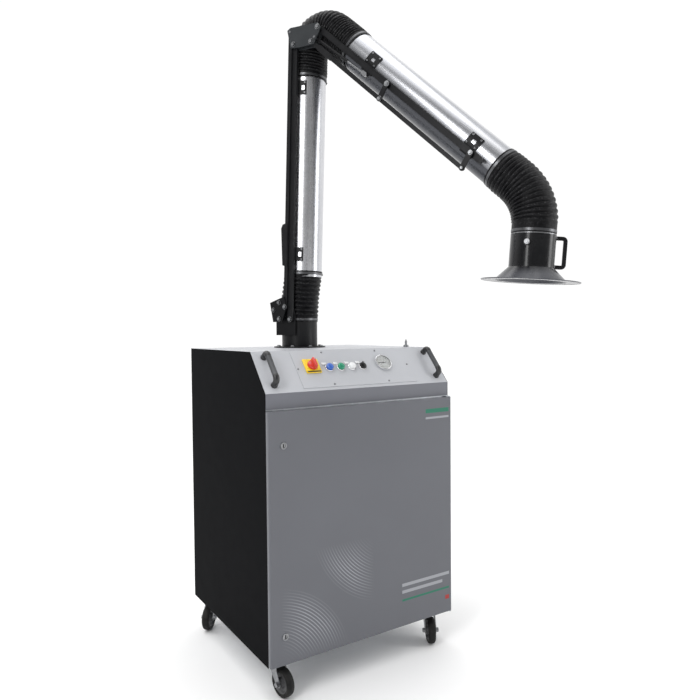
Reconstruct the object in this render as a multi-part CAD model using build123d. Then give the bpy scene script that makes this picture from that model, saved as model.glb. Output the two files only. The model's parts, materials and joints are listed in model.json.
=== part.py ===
"""Mobile fume extractor: cabinet on casters with an articulated, linkage-carried extraction arm.

Millimetres. Origin on the floor under the centre of the cabinet's footprint, +X to the right
along the front, +Y to the back, +Z up. The arm is drawn in its own vertical plane, where r is
the reach from the swivel axis, z the height and s the distance out from the plane on the side
that carries the linkage, and is then turned to its bearing about the swivel axis.
"""
from build123d import *
from math import atan2, cos, degrees, hypot, radians, sin, tan
import os

# ---- cabinet ---------------------------------------------------------------------------------
CAB_W = 800.0               # across the front
CAB_D = 716.0               # fascia to rear panel
BODY_TOP = 1179.0           # roof above the floor
SHEET = 2.0                 # cabinet sheet metal
SKIRT = 5.5                 # side panels hang this far below the chassis pan
SLOPE_RUN = 118.0           # console: how far back the slope goes
SLOPE_DROP = 137.0          # console: how far down it comes
FASCIA_H = 53.0             # upright strip under the console slope
DECK_H = 300.0              # height of the fan compartment under the roof
FRAME_W = 34.0              # front frame stiles
PAN_SIDE = 40.0             # turned-up sides of the chassis pan
FILTER_X = -170.0           # filter cartridge, with the fan over it
FILTER_Y = -60.0
FILTER_R = 160.0
FILTER_H = 540.0
FAN_R = 165.0
FAN_H = 130.0
FIT = 0.3                   # gap between separate pieces
PLATE = 3.0                 # thicker sheet of the pieces inside
OUTLET_ROWS = 9             # louvre slots in the rear panel
OUTLET_PITCH = 13.0
OUTLET_SLOT = 8.0
EYE_R = 90.0                # fan's eye over the cartridge
SHAFT_R = 9.0
BLADES = 12
IMPELLER_R = 150.0
IMPELLER_UP = 12.0          # underside of the impeller above the deck
IMPELLER_H = 94.0
MOTOR_R = 80.0
MOTOR_H = 110.0
MOTOR_FLANGE_R = 100.0
CORE_R = 95.0               # open core of the cartridge
CAP_T = 15.0                # cartridge's end caps
BIN_SIDE = 340.0            # dust bin's half width
BIN_H = 150.0
BIN_FRONT = 40.0            # dust bin behind the front frame
BIN_REAR = 60.0
BIN_PULL = 60.0             # half width of its pull
TANK_X = 130.0              # left end of the air tank
TANK_BACK = 103.0           # tank's axis in front of the rear panel's face
TANK_R = 60.0
TANK_L = 230.0
TANK_UP = 140.0             # tank's axis above the deck
BOX_X = (150.0, 370.0)      # electrical box
BOX_Y = (-180.0, 60.0)
BOX_H = 198.0
GLAND_X = 300.0             # mains gland in the rear panel
GLAND_UP = 60.0
GLAND_BORE = 5.0
GLAND_BODY = 9.5
GLAND_NUT = 14.0

# ---- door ------------------------------------------------------------------------------------
DOOR_T = 18.0
DOOR_WALL = 4.0             # folded rims of the door
DOOR_GAP = 5.5              # between the fascia and the top of the door
SEAL_GAP = 3.5              # between the front frame and the back of the door
HINGE_IN = 6.0              # hinge axis in from the door's right edge and its face
HINGE_PIN_R = 3.0
HINGE_PLATE = (18.0, 3.0)   # hinge brackets: width and thickness
HINGE_CLEAR = 1.2           # between a hinge bracket and the door's end
LOCK_R = 12.0
LOCK_IN = 55.0              # lock centre from the door's left edge
LOCK_TOP = 115.0            # upper lock below the top of the door
LOCK_LOW = 96.0             # lower lock above the bottom of the door

# ---- casters ---------------------------------------------------------------------------------
WHEEL_R = 50.0
CASTER_H = 2 * WHEEL_R + 28
WHEEL_W = 32.0
CASTER_IN = 56.0            # swivel axis in from the cabinet's sides
TRAIL = 40.0
FORK_W = 44.0
FORK_T = 3.0
AXLE_R = 6.0
BORE_GAP = 0.05             # radial gap of a shaft in its hole
CASTER_TURN = {"front_left": -80.0, "front_right": -120.0, "rear_left": -132.0, "rear_right": -60.0}

# ---- console ---------------------------------------------------------------------------------
PLATE_W = 498.0
PLATE_H = 166.0
PLATE_T = 1.5
PLATE_UP = 5.0              # control plate's centre above the middle of the slope
SWITCH_X = -184.0
SWITCH_UP = 14.0
SWITCH_PLATE = 61.0
KNOB_R = 20.0
KNOB_H = 30.0
BUTTON_X = -115.0           # first button
BUTTON_PITCH = 48.5
BUTTON_UP = 4.0
BUTTON_R = 14.0
BUTTON_H = 11.0
GAUGE_X = 130.0
GAUGE_UP = 15.0
GAUGE_R = 35.0
GAUGE_H = 9.0
HANDLE_X = 356.0
HANDLE_PITCH = 120.0
HANDLE_H = 42.0
HANDLE_R = 9.5
HANDLE_BEND = 14.0
NIPPLE_X = 331.0
NIPPLE_BACK = 178.0         # air nipple behind the fascia
NIPPLE_R = 5.0
NIPPLE_L = 12.0

# ---- arm -------------------------------------------------------------------------------------
ARM_Y = 132.0               # swivel axis behind the cabinet's centre
ARM_BEARING = -62.0         # degrees from +X
TUBE_R = 75.0
TUBE_WALL = 2.0
HOSE_GAP = 1.0              # between a tube and the hose over it
HOSE_WALL = 4.5
FLANGE_R = 109.0
FLANGE_T = 5.0
FLANGE_BOLT_R = 96.0
FIXED_H = 51.0              # fixed collar above the roof
COLLAR_TOP = 1312.0         # top of the turning collar, inside the hose
BASE_HOSE_LOW = 1288.0
HOSE_GRIP = 24.0            # hose pushed over a tube's end
PIVOT_R = 18.4              # foot of the lower beam
PIVOT_Z = 1297.0
BRACKET_BACK = 58.0         # foot bracket behind the swivel axis
BRACKET_UP = 94.0           # its top above the foot pivot
LOWER_LEAN = 2.1            # degrees from upright
LOWER_LENGTH = 1104.6       # foot pivot to elbow pivot
LOWER_TUBE_FROM = 204.0
LOWER_TUBE_TO = 990.0
LOWER_LINK = (-16.0, 52.0)  # second pivot from the first, lower parallelogram
ELBOW_SPAN = (113.8, 44.4)  # lower beam's top pivot to the upper beam's pivot
UPPER_FALL = 43.0           # degrees below level
ELBOW_R = 84.0              # bend of the elbow hose's centre line
UPPER_LINK = (-31.0, -50.0)
UPPER_TUBE_FROM = 125.0
UPPER_TUBE_TO = 948.0
UPPER_TUBE_OFF = 22.0       # tube axis above the upper beam
MID_LINK_AT = 410.0
END_LINK_AT = 848.0
WRIST_AT = 1103.0
SPIDER_IN = 26.0            # cross inside the far end of the upper tube
KNUCKLE_BACK = 18.0         # fork's root before the wrist pivot
KNUCKLE_IN = 8.0            # wrist fork's inner and outer faces from the arm's plane
KNUCKLE_OUT = 14.0
WRIST_PIN_R = 5.0
HOOD_LEAN = 4.3
BEAM_W = 22.0
ROD_W = 16.0
PIN_R = 6.0
BOLT_R = 8.5
SADDLE_L = 56.0             # tube saddles: length along the tube and thickness
SADDLE_T = 4.0
LOWER_SADDLES = (270.0, 945.0)
UPPER_SADDLES = (276.0, 816.0)
WINDOW_W = 14.0             # opening in a saddle's flank
WINDOW_L = 20.0
# layers of the linkage, as distances out from the arm's plane
CHEEK = (85.0, 89.0)
BEAM = (90.5, 102.5)
ROD = (103.5, 110.5)
OUTER = (112.0, 116.0)
HEAD_T = 5.0
SPRING_R = 6.0
SPRING_S = 96.5             # gas spring's axis, out from the arm's plane
SPRING_BASE = (-11.0, -39.0)    # gas spring's lower eye from the upper beam's pivot
SPRING_LUG = (298.0, -24.0)     # its far eye, along and square to the upper beam
SPRING_BODY = 165.0

# ---- hood, distances down its axis from the wrist pivot ------------------------------------------
COLLAR_R = TUBE_R + 3
CUFF_FROM = 92.0
CUFF_TO = 142.0
COLLAR_FROM = 131.0
COLLAR_TO = 244.0
CONE_R = 125.0
BRIM_AT = 292.0
BRIM_R = 171.0
HOOD_WALL = 2.0
DAMPER_AT = 162.0
DAMPER_R = 56.0
HOOD_GRIP_TURN = 29.0

HALF_W = CAB_W / 2
HALF_D = CAB_D / 2
FRONT = -HALF_D
DECK_Z = BODY_TOP - DECK_H
PAN_Z = CASTER_H
FASCIA_TOP = BODY_TOP - SLOPE_DROP
FASCIA_LOW = FASCIA_TOP - FASCIA_H
DOOR_TOP = FASCIA_LOW - DOOR_GAP
HINGE_X = HALF_W - HINGE_IN
HINGE_Y = FRONT - SEAL_GAP - DOOR_T + HINGE_IN
TANK_Y = HALF_D - TANK_BACK
NIPPLE_Y = FRONT + NIPPLE_BACK
HOSE_IN = TUBE_R + HOSE_GAP
HOSE_OUT = HOSE_IN + HOSE_WALL
os.makedirs("parts", exist_ok=True)


def save(name, shape):
    """Write one node."""
    solids = shape.solids()
    export_step(Compound(children=list(solids)) if len(solids) > 1 else solids[0], f"parts/{name}.step")


def block(x0, x1, y0, y1, z0, z1):
    """Box between two corners."""
    place = Pos((x0 + x1) / 2, (y0 + y1) / 2, (z0 + z1) / 2)
    return place * Box(abs(x1 - x0), abs(y1 - y0), abs(z1 - z0))


def rod(start, direction, radius, length):
    """Cylinder from a point along a direction."""
    plane = Plane(origin=start, z_dir=direction)
    return plane * Cylinder(radius, length, align=(Align.CENTER, Align.CENTER, Align.MIN))


def tube(start, direction, outer, inner, length):
    """Hollow cylinder from a point along a direction."""
    return rod(start, direction, outer, length) - rod(start, direction, inner, length)


def profile_x(points, x0, x1):
    """Outline in Y and Z, pulled along X."""
    plane = Plane(origin=(x0, 0, 0), x_dir=(0, 1, 0), z_dir=(1, 0, 0))
    return extrude(plane * make_face(Polyline(*points, close=True)), amount=x1 - x0)


# ---- cabinet pieces --------------------------------------------------------------------------
def side_outline():
    """Side panel's outline in Y and Z, with the console's slope at the front."""
    low = PAN_Z - SKIRT
    return [(FRONT, low), (HALF_D, low), (HALF_D, BODY_TOP), (FRONT + SLOPE_RUN, BODY_TOP),
            (FRONT, FASCIA_TOP)]


def cabinet_shell():
    """Pan, sides, back, roof, console, front frame and the deck under the fan."""
    inner = HALF_W - SHEET - FIT
    roof_front = FRONT + SLOPE_RUN
    pan_front = FRONT + SHEET + FIT
    pan = block(-inner, inner, pan_front, HALF_D - SHEET - FIT, PAN_Z, PAN_Z + SHEET)
    for side in (-1, 1):
        pan += block(side * inner, side * (inner - SHEET), pan_front, HALF_D - SHEET - FIT,
                     PAN_Z, PAN_Z + PAN_SIDE)
    save("chassis_pan", pan)
    save("side_panel_left", profile_x(side_outline(), -HALF_W, -HALF_W + SHEET))
    save("side_panel_right", profile_x(side_outline(), HALF_W - SHEET, HALF_W))
    rear = block(-inner, inner, HALF_D - SHEET, HALF_D, PAN_Z, BODY_TOP)
    for row in range(OUTLET_ROWS):
        slot_z = DECK_Z + 16 + row * OUTLET_PITCH
        rear -= block(FILTER_X - FAN_R + 6, FILTER_X - 6, HALF_D - 2 * SHEET, HALF_D + 1,
                      slot_z, slot_z + OUTLET_SLOT)
    rear -= rod((GLAND_X, HALF_D + 1, DECK_Z + GLAND_UP), (0, -1, 0), GLAND_BODY + 0.5, 3 * SHEET)
    save("rear_panel", rear)
    roof = block(-inner, inner, roof_front, HALF_D - SHEET - FIT, BODY_TOP - SHEET, BODY_TOP)
    roof -= rod((0, ARM_Y, BODY_TOP - 5), (0, 0, 1), TUBE_R + 1, 10)
    roof -= rod((NIPPLE_X, NIPPLE_Y, BODY_TOP - 5), (0, 0, 1), 8 + FIT, 10)
    save("roof_panel", roof)
    slope = atan2(SLOPE_DROP, SLOPE_RUN)
    inset_z = SHEET / cos(slope)
    back = SHEET * tan((radians(90) - slope) / 2)
    console = profile_x([
        (FRONT, FASCIA_LOW), (FRONT, FASCIA_TOP), (roof_front - FIT, BODY_TOP - FIT),
        (roof_front - FIT, BODY_TOP - inset_z - FIT), (FRONT + SHEET, FASCIA_TOP - back),
        (FRONT + SHEET, FASCIA_LOW)], -inner, inner)
    console -= SLOPE * (Pos(GAUGE_X, GAUGE_UP, 0) * Cylinder(GAUGE_R - 8, 20))
    for index in range(4):
        console -= SLOPE * (Pos(BUTTON_X + index * BUTTON_PITCH, BUTTON_UP, 0) * Cylinder(11, 20))
    console -= SLOPE * (Pos(SWITCH_X, SWITCH_UP, 0) * Cylinder(11, 20))
    save("console_panel", console)
    frame = block(-inner, inner, FRONT, FRONT + SHEET, PAN_Z, FASCIA_LOW - FIT)
    for side in (-1, 1):
        frame += block(side * inner, side * (inner - SHEET), FRONT, FRONT + 22,
                       PAN_Z + PAN_SIDE + FIT, FASCIA_LOW - FIT)
    frame -= block(-inner + FRAME_W, inner - FRAME_W, FRONT - 1, FRONT + 30,
                   PAN_Z + FRAME_W, FASCIA_LOW - FRAME_W)
    plate_w, plate_t = HINGE_PLATE
    for end, way in ((DOOR_TOP, 1), (PAN_Z, -1)):
        near = end + way * HINGE_CLEAR
        far = near + way * plate_t
        frame += block(inner - plate_w, inner, HINGE_Y - 1, FRONT + SHEET,
                       min(near, far), max(near, far))
        pin_l = HINGE_CLEAR + plate_t + DOOR_WALL
        frame += rod((HINGE_X, HINGE_Y, far), (0, 0, -way), HINGE_PIN_R, pin_l)
        frame += rod((HINGE_X, HINGE_Y, near), (0, 0, way), HINGE_PIN_R + 2.5, plate_t)
    low_plate = PAN_Z - HINGE_CLEAR - plate_t
    frame += block(inner - plate_w, inner, FRONT, FRONT + SHEET, low_plate, PAN_Z + 1)
    save("front_frame", frame)
    deck = block(-inner, inner, FRONT + 24, HALF_D - SHEET - FIT, DECK_Z, DECK_Z + SHEET)
    deck -= rod((FILTER_X, FILTER_Y, DECK_Z - 5), (0, 0, 1), EYE_R, 10)
    deck -= rod((0, ARM_Y, DECK_Z - 5), (0, 0, 1), TUBE_R + 1, 10)
    save("fan_deck", deck)


def door():
    """Door panel with folded edges and its two quarter-turn locks."""
    back = FRONT - SEAL_GAP
    front = back - DOOR_T
    panel = block(-HALF_W, HALF_W, front, back, PAN_Z, DOOR_TOP)
    panel = fillet(panel.edges().group_by(Axis.Y)[0].filter_by(Axis.Z), 7)
    panel -= block(-HALF_W + DOOR_WALL, HALF_W - DOOR_WALL, front + SHEET, back - SHEET,
                   PAN_Z + DOOR_WALL, DOOR_TOP - DOOR_WALL)
    panel -= rod((HINGE_X, HINGE_Y, PAN_Z - 1), (0, 0, 1), HINGE_PIN_R + BORE_GAP, DOOR_TOP - PAN_Z + 2)
    lock_x = -HALF_W + LOCK_IN
    heights = {"door_lock_upper": DOOR_TOP - LOCK_TOP, "door_lock_lower": PAN_Z + LOCK_LOW}
    for name, lock_z in heights.items():
        panel -= rod((lock_x, front - 1, lock_z), (0, 1, 0), LOCK_R - 2 + BORE_GAP, DOOR_T + 2)
        lock = rod((lock_x, front - 3.3, lock_z), (0, 1, 0), LOCK_R, 3.0)
        cam_y = FRONT + SHEET + 1
        lock += rod((lock_x, front - 0.5, lock_z), (0, 1, 0), LOCK_R - 2, cam_y + 3 - front)
        lock += block(lock_x - 7, lock_x + 7, cam_y, cam_y + 3, lock_z - 10, lock_z + 26)
        lock -= block(lock_x - 1.5, lock_x + 1.5, front - 4, front - 1.5, lock_z - 7, lock_z + 7)
        save(name, lock)
    save("door_panel", panel)


def caster(corner, side_x, side_y):
    """Caster at one corner: plate with head, fork with axle, and wheel."""
    place = Pos(side_x * (HALF_W - CASTER_IN), side_y * (HALF_D - CASTER_IN), 0)
    turned = place * Rot(0, 0, CASTER_TURN[corner])
    head = block(-40, 40, -40, 40, CASTER_H - 3, CASTER_H) + Pos(0, 0, CASTER_H - 9) * Cylinder(26, 12)
    head -= Pos(0, 0, CASTER_H - 10) * Cylinder(AXLE_R + BORE_GAP, 20)
    cheek_out = FORK_W / 2
    crown_z = 2 * WHEEL_R + 4
    crown = block(-20, 24, -cheek_out, cheek_out, crown_z, crown_z + 4)
    fork = crown + Pos(0, 0, crown_z + 6) * Cylinder(22, 4.4)
    fork += Pos(0, 0, crown_z + 10) * Cylinder(AXLE_R, 20)
    outline = Polyline((-20, crown_z + 4), (24, crown_z + 4), (TRAIL + 13, WHEEL_R),
                       (TRAIL + 8, WHEEL_R - 10), (TRAIL - 8, WHEEL_R - 10), (TRAIL - 14, WHEEL_R),
                       close=True)
    for y0 in (-cheek_out, cheek_out - FORK_T):
        plane = Plane(origin=(0, y0 + FORK_T, 0), x_dir=(1, 0, 0), z_dir=(0, -1, 0))
        fork += extrude(plane * make_face(outline), amount=FORK_T)
    fork += rod((TRAIL, -cheek_out - 4, WHEEL_R), (0, 1, 0), AXLE_R, FORK_W + 8)
    fork += rod((TRAIL, -cheek_out - 6, WHEEL_R), (0, 1, 0), 9, 6)
    fork += rod((TRAIL, cheek_out, WHEEL_R), (0, 1, 0), 9, 6)
    wheel = rod((TRAIL, -WHEEL_W / 2, WHEEL_R), (0, 1, 0), WHEEL_R, WHEEL_W)
    wheel = fillet(wheel.edges().filter_by(GeomType.CIRCLE), 6)
    wheel += rod((TRAIL, -WHEEL_W / 2 - 2, WHEEL_R), (0, 1, 0), 16, WHEEL_W + 4)
    wheel -= rod((TRAIL, -WHEEL_W, WHEEL_R), (0, 1, 0), AXLE_R + BORE_GAP, 2 * WHEEL_W)
    save(f"caster_fork_{corner}", turned * fork)
    save(f"caster_wheel_{corner}", turned * wheel)
    return place * head


# ---- console pieces --------------------------------------------------------------------------
SLOPE_LEN = hypot(SLOPE_RUN, SLOPE_DROP)
SLOPE = Plane(origin=(0, FRONT + SLOPE_RUN / 2, BODY_TOP - SLOPE_DROP / 2), x_dir=(1, 0, 0),
              z_dir=(0, -SLOPE_DROP / SLOPE_LEN, SLOPE_RUN / SLOPE_LEN))
SURFACE = PLATE_T + FIT     # top of the control plate above the slope


def on_slope(x, up, height, shape):
    """Stand a shape whose foot is at its origin on the console's slope."""
    return SLOPE * (Pos(x, up, height) * shape)


def post(radius, height):
    """Cylinder standing on its origin."""
    return Cylinder(radius, height, align=(Align.CENTER, Align.CENTER, Align.MIN))


def console_controls():
    """Control plate, switch, buttons, selector, gauge and bridge handles."""
    plate = on_slope(0, PLATE_UP, FIT + PLATE_T / 2, Box(PLATE_W, PLATE_H, PLATE_T))
    spots = [(BUTTON_X + index * BUTTON_PITCH, BUTTON_UP) for index in range(4)]
    for x, up in spots + [(SWITCH_X, SWITCH_UP)]:
        plate -= on_slope(x, up, -2, post(8 + BORE_GAP, 10))
    plate -= on_slope(GAUGE_X, GAUGE_UP, -2, post(GAUGE_R - 8, 10))
    save("control_plate", plate)
    bezel = post(BUTTON_R + 2, 5) - post(BUTTON_R + FIT, 5)
    bezels = [on_slope(x, up, SURFACE, bezel) for x, up in spots]
    base = on_slope(SWITCH_X, SWITCH_UP, SURFACE + 3, Box(SWITCH_PLATE, SWITCH_PLATE, 6))
    base -= on_slope(SWITCH_X, SWITCH_UP, 0, post(8 + BORE_GAP, 20))
    save("control_bezels", Compound(children=bezels + [base]))
    knob = post(KNOB_R, 8) + Pos(0, 0, KNOB_H / 2) * Box(12, 2 * KNOB_R - 4, KNOB_H)
    knob += Pos(0, 0, -16) * post(8, 18)
    save("switch_knob", on_slope(SWITCH_X, SWITCH_UP, SURFACE + 6 + FIT, knob))
    for (x, up), name in zip(spots, ("button_blue", "button_green", "button_white", "selector_knob")):
        head = fillet(post(BUTTON_R, BUTTON_H).edges().group_by(Axis.Z)[-1], 2)
        head += Pos(0, 0, -14) * post(8, 15)
        if name == "selector_knob":
            head = post(BUTTON_R, 5) + Pos(0, 0, -14) * post(8, 15)
            head += Pos(0, 0, 8) * Box(7, 2 * BUTTON_R - 4, 16)
        save(name, on_slope(x, up, SURFACE + 4, head))
    dial = post(GAUGE_R, GAUGE_H) - Pos(0, 0, 3) * post(GAUGE_R - 3, GAUGE_H)
    dial += Pos(0, 0, -22) * post(GAUGE_R - 9, 23)
    dial -= Pos(0, 0, 1) * post(2 + BORE_GAP, 4)
    save("pressure_gauge", on_slope(GAUGE_X, GAUGE_UP, SURFACE, dial))
    needle = Pos(0, 0, 4) * (post(3.5, 1.2) + Pos(-6, 0, 0.6) * Box(34, 1.6, 1.2))
    needle += Pos(0, 0, 1.2) * post(2, 3)
    save("gauge_needle", on_slope(GAUGE_X, GAUGE_UP, SURFACE, needle))
    handles = []
    reach = HANDLE_PITCH / 2
    for side in (-1, 1):
        path = FilletPolyline((0, -reach, 0), (0, -reach, HANDLE_H - HANDLE_R),
                              (0, reach, HANDLE_H - HANDLE_R), (0, reach, 0), radius=HANDLE_BEND)
        bar = sweep(Plane(origin=(0, -reach, 0), z_dir=(0, 0, 1)) * Circle(HANDLE_R), path=path)
        feet = Pos(0, -reach, 0) * post(12, 10) + Pos(0, reach, 0) * post(12, 10)
        handles.append(on_slope(side * HANDLE_X, 2, FIT, bar + feet))
    save("bridge_handles", Compound(children=handles))


def cabinet_inside():
    """Fan, motor, filter cartridge, dust bin, air tank and electrical box."""
    top = DECK_Z + SHEET
    low = top + FIT
    wall = PLATE
    outlet_y = HALF_D - SHEET - FIT
    scroll = rod((FILTER_X, FILTER_Y, low), (0, 0, 1), FAN_R, FAN_H)
    scroll += block(FILTER_X - FAN_R, FILTER_X, FILTER_Y, outlet_y, low, low + FAN_H)
    hollow = rod((FILTER_X, FILTER_Y, low + wall), (0, 0, 1), FAN_R - wall, FAN_H - 2 * wall)
    hollow += block(FILTER_X - FAN_R + wall, FILTER_X - wall, FILTER_Y, outlet_y + 1,
                    low + wall, low + FAN_H - wall)
    scroll -= hollow
    scroll -= rod((FILTER_X, FILTER_Y, top), (0, 0, 1), EYE_R, 10)
    scroll -= rod((FILTER_X, FILTER_Y, top + FAN_H - 10), (0, 0, 1), SHAFT_R + 5, 30)
    save("fan_housing", scroll)
    wheel_z = top + IMPELLER_UP
    back_t = PLATE + 1
    impeller = rod((FILTER_X, FILTER_Y, wheel_z + IMPELLER_H - back_t), (0, 0, 1), IMPELLER_R, back_t)
    impeller += tube((FILTER_X, FILTER_Y, wheel_z), (0, 0, 1), IMPELLER_R, EYE_R + 5, PLATE)
    impeller += rod((FILTER_X, FILTER_Y, wheel_z + 60), (0, 0, 1), 22, IMPELLER_H - 62)
    blade = Rot(0, 0, 40) * Box(46, PLATE, IMPELLER_H - 2)
    blade = Pos(IMPELLER_R - 28, 0, IMPELLER_H / 2 + 0.5) * blade
    for index in range(BLADES):
        impeller += Pos(FILTER_X, FILTER_Y, wheel_z) * (Rot(0, 0, 360 / BLADES * index) * blade)
    impeller -= rod((FILTER_X, FILTER_Y, wheel_z), (0, 0, 1), SHAFT_R + BORE_GAP, FAN_H)
    save("fan_impeller", impeller)
    motor_z = low + FAN_H + FIT
    motor = rod((FILTER_X, FILTER_Y, motor_z), (0, 0, 1), MOTOR_R, MOTOR_H)
    motor += rod((FILTER_X, FILTER_Y, motor_z - 60), (0, 0, 1), SHAFT_R, 62)
    motor += rod((FILTER_X, FILTER_Y, motor_z), (0, 0, 1), MOTOR_FLANGE_R, 8)
    save("fan_motor", motor)
    foot_z = DECK_Z - FIT - FILTER_H
    cartridge = tube((FILTER_X, FILTER_Y, foot_z), (0, 0, 1), FILTER_R, CORE_R, FILTER_H)
    cartridge += rod((FILTER_X, FILTER_Y, foot_z), (0, 0, 1), FILTER_R + 2, CAP_T)
    cartridge += tube((FILTER_X, FILTER_Y, DECK_Z - FIT - CAP_T), (0, 0, 1),
                      FILTER_R + 12, CORE_R, CAP_T)
    save("filter_cartridge", cartridge)
    bin_low = PAN_Z + SHEET + FIT
    bin_in = BIN_SIDE - PLATE
    bin_front, bin_rear = FRONT + BIN_FRONT, HALF_D - BIN_REAR
    tray = block(-BIN_SIDE, BIN_SIDE, bin_front, bin_rear, bin_low, bin_low + BIN_H)
    tray -= block(-bin_in, bin_in, bin_front + PLATE, bin_rear - PLATE,
                  bin_low + PLATE, bin_low + BIN_H + 10)
    tray += block(-BIN_PULL, BIN_PULL, bin_front - 14, bin_front + 1, bin_low + 100, bin_low + 106)
    save("dust_bin", tray)
    tank_z = DECK_Z + TANK_UP
    tank = rod((TANK_X, TANK_Y, tank_z), (1, 0, 0), TANK_R, TANK_L)
    for foot_x in (TANK_X + 40, TANK_X + TANK_L - 60):
        tank += block(foot_x, foot_x + 20, TANK_Y - 40, TANK_Y + 40, low, tank_z - TANK_R + 10)
    tank += rod((NIPPLE_X, TANK_Y, tank_z + TANK_R - 10), (0, 0, 1), 9, 40)
    tank -= rod((TANK_X + wall, TANK_Y, tank_z), (1, 0, 0), TANK_R - wall, TANK_L - 2 * wall)
    tank -= rod((NIPPLE_X, TANK_Y, tank_z), (0, 0, 1), 6, TANK_R + 40)
    save("air_tank", tank)
    crate = block(*BOX_X, *BOX_Y, low, low + BOX_H)
    crate -= block(BOX_X[0] + SHEET, BOX_X[1] - SHEET, BOX_Y[0] + SHEET, BOX_Y[1] - SHEET,
                   low - 1, low + BOX_H - SHEET)
    save("electrical_box", crate)


def cabinet_fittings():
    """Roof flange with the fixed collar, its bolts, the air nipple and the mains gland."""
    top = BODY_TOP + FIT
    flange = rod((0, ARM_Y, top), (0, 0, 1), FLANGE_R, FLANGE_T)
    flange += rod((0, ARM_Y, DECK_Z - 10), (0, 0, 1), TUBE_R, BODY_TOP + FIXED_H - DECK_Z + 10)
    flange -= rod((0, ARM_Y, DECK_Z - 20), (0, 0, 1), TUBE_R - TUBE_WALL, BODY_TOP)
    bolts = []
    for index in range(8):
        turn = radians(ARM_BEARING + 15 + 45 * index)
        spot = (FLANGE_BOLT_R * cos(turn), ARM_Y + FLANGE_BOLT_R * sin(turn))
        bolts.append(rod((*spot, top + FLANGE_T + FIT / 3), (0, 0, 1), 6.5, 5.5))
    save("duct_flange", flange)
    for x, up in ((-120, 75), (120, 75), (-242, 3), (242, 3), (-120, -70), (120, -70)):
        bolts.append(on_slope(x, up + 2, SURFACE + FIT / 3, post(4, 2)))
    save("cabinet_screws", Compound(children=bolts))
    nipple = rod((NIPPLE_X, NIPPLE_Y, top), (0, 0, 1), 11, 9)
    nipple += rod((NIPPLE_X, NIPPLE_Y, BODY_TOP - 14), (0, 0, 1), 8, 16)
    nipple += rod((NIPPLE_X, NIPPLE_Y, top + 9), (0, 0, 1), NIPPLE_R, NIPPLE_L)
    cone = Cone(NIPPLE_R, 2.5, 10, align=(Align.CENTER, Align.CENTER, Align.MIN))
    nipple += Pos(NIPPLE_X, NIPPLE_Y, top + 9 + NIPPLE_L) * cone
    save("air_nipple", nipple)
    gland_z = DECK_Z + GLAND_UP
    gland = rod((GLAND_X, HALF_D + FIT, gland_z), (0, 1, 0), GLAND_NUT, 8)
    gland += rod((GLAND_X, HALF_D - 8, gland_z), (0, 1, 0), GLAND_BODY, 28)
    gland -= rod((GLAND_X, HALF_D - 10, gland_z), (0, 1, 0), GLAND_BORE, 40)
    save("cable_gland", gland)


# ---- arm -------------------------------------------------------------------------------------
ARM = Pos(0, ARM_Y, 0) * Rot(0, 0, ARM_BEARING)


def flat(outline, layer):
    """Face in r and z, thickened through one layer of the linkage."""
    plane = Plane(origin=(0, -layer[0], 0), x_dir=(1, 0, 0), z_dir=(0, -1, 0))
    return extrude(plane * outline, amount=layer[1] - layer[0])


def link(start, end, width, layer):
    """Round-ended bar between two pivots."""
    span = (end[0] - start[0], end[1] - start[1])
    turn = degrees(atan2(span[1], span[0]))
    middle = ((start[0] + end[0]) / 2, (start[1] + end[1]) / 2)
    return flat(Pos(*middle) * Rot(0, 0, turn) * SlotOverall(hypot(*span) + width, width), layer)


def pin(centre, layer, radius=PIN_R):
    """Pin or bolt head through one layer."""
    return flat(Pos(*centre) * Circle(radius), layer)


def shift(point, offset):
    """Point moved by an offset."""
    return (point[0] + offset[0], point[1] + offset[1])


FOOT = (PIVOT_R, PIVOT_Z)
LOWER_DIR = (sin(radians(LOWER_LEAN)), cos(radians(LOWER_LEAN)))
ELBOW_LOW = (FOOT[0] + LOWER_LENGTH * LOWER_DIR[0], FOOT[1] + LOWER_LENGTH * LOWER_DIR[1])
ELBOW_UP = shift(ELBOW_LOW, ELBOW_SPAN)
UPPER_DIR = (cos(radians(UPPER_FALL)), -sin(radians(UPPER_FALL)))
UPPER_SIDE = (-UPPER_DIR[1], UPPER_DIR[0])


def on_lower(along, side=0.0):
    """Point beside the lower beam."""
    return (FOOT[0] + along * LOWER_DIR[0] + side * LOWER_DIR[1],
            FOOT[1] + along * LOWER_DIR[1] - side * LOWER_DIR[0])


def on_upper(along, side=0.0):
    """Point beside the upper beam."""
    return (ELBOW_UP[0] + along * UPPER_DIR[0] + side * UPPER_SIDE[0],
            ELBOW_UP[1] + along * UPPER_DIR[1] + side * UPPER_SIDE[1])


WRIST = on_upper(WRIST_AT, UPPER_TUBE_OFF)
HOOD_DIR = (-sin(radians(HOOD_LEAN)), -cos(radians(HOOD_LEAN)))


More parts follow.
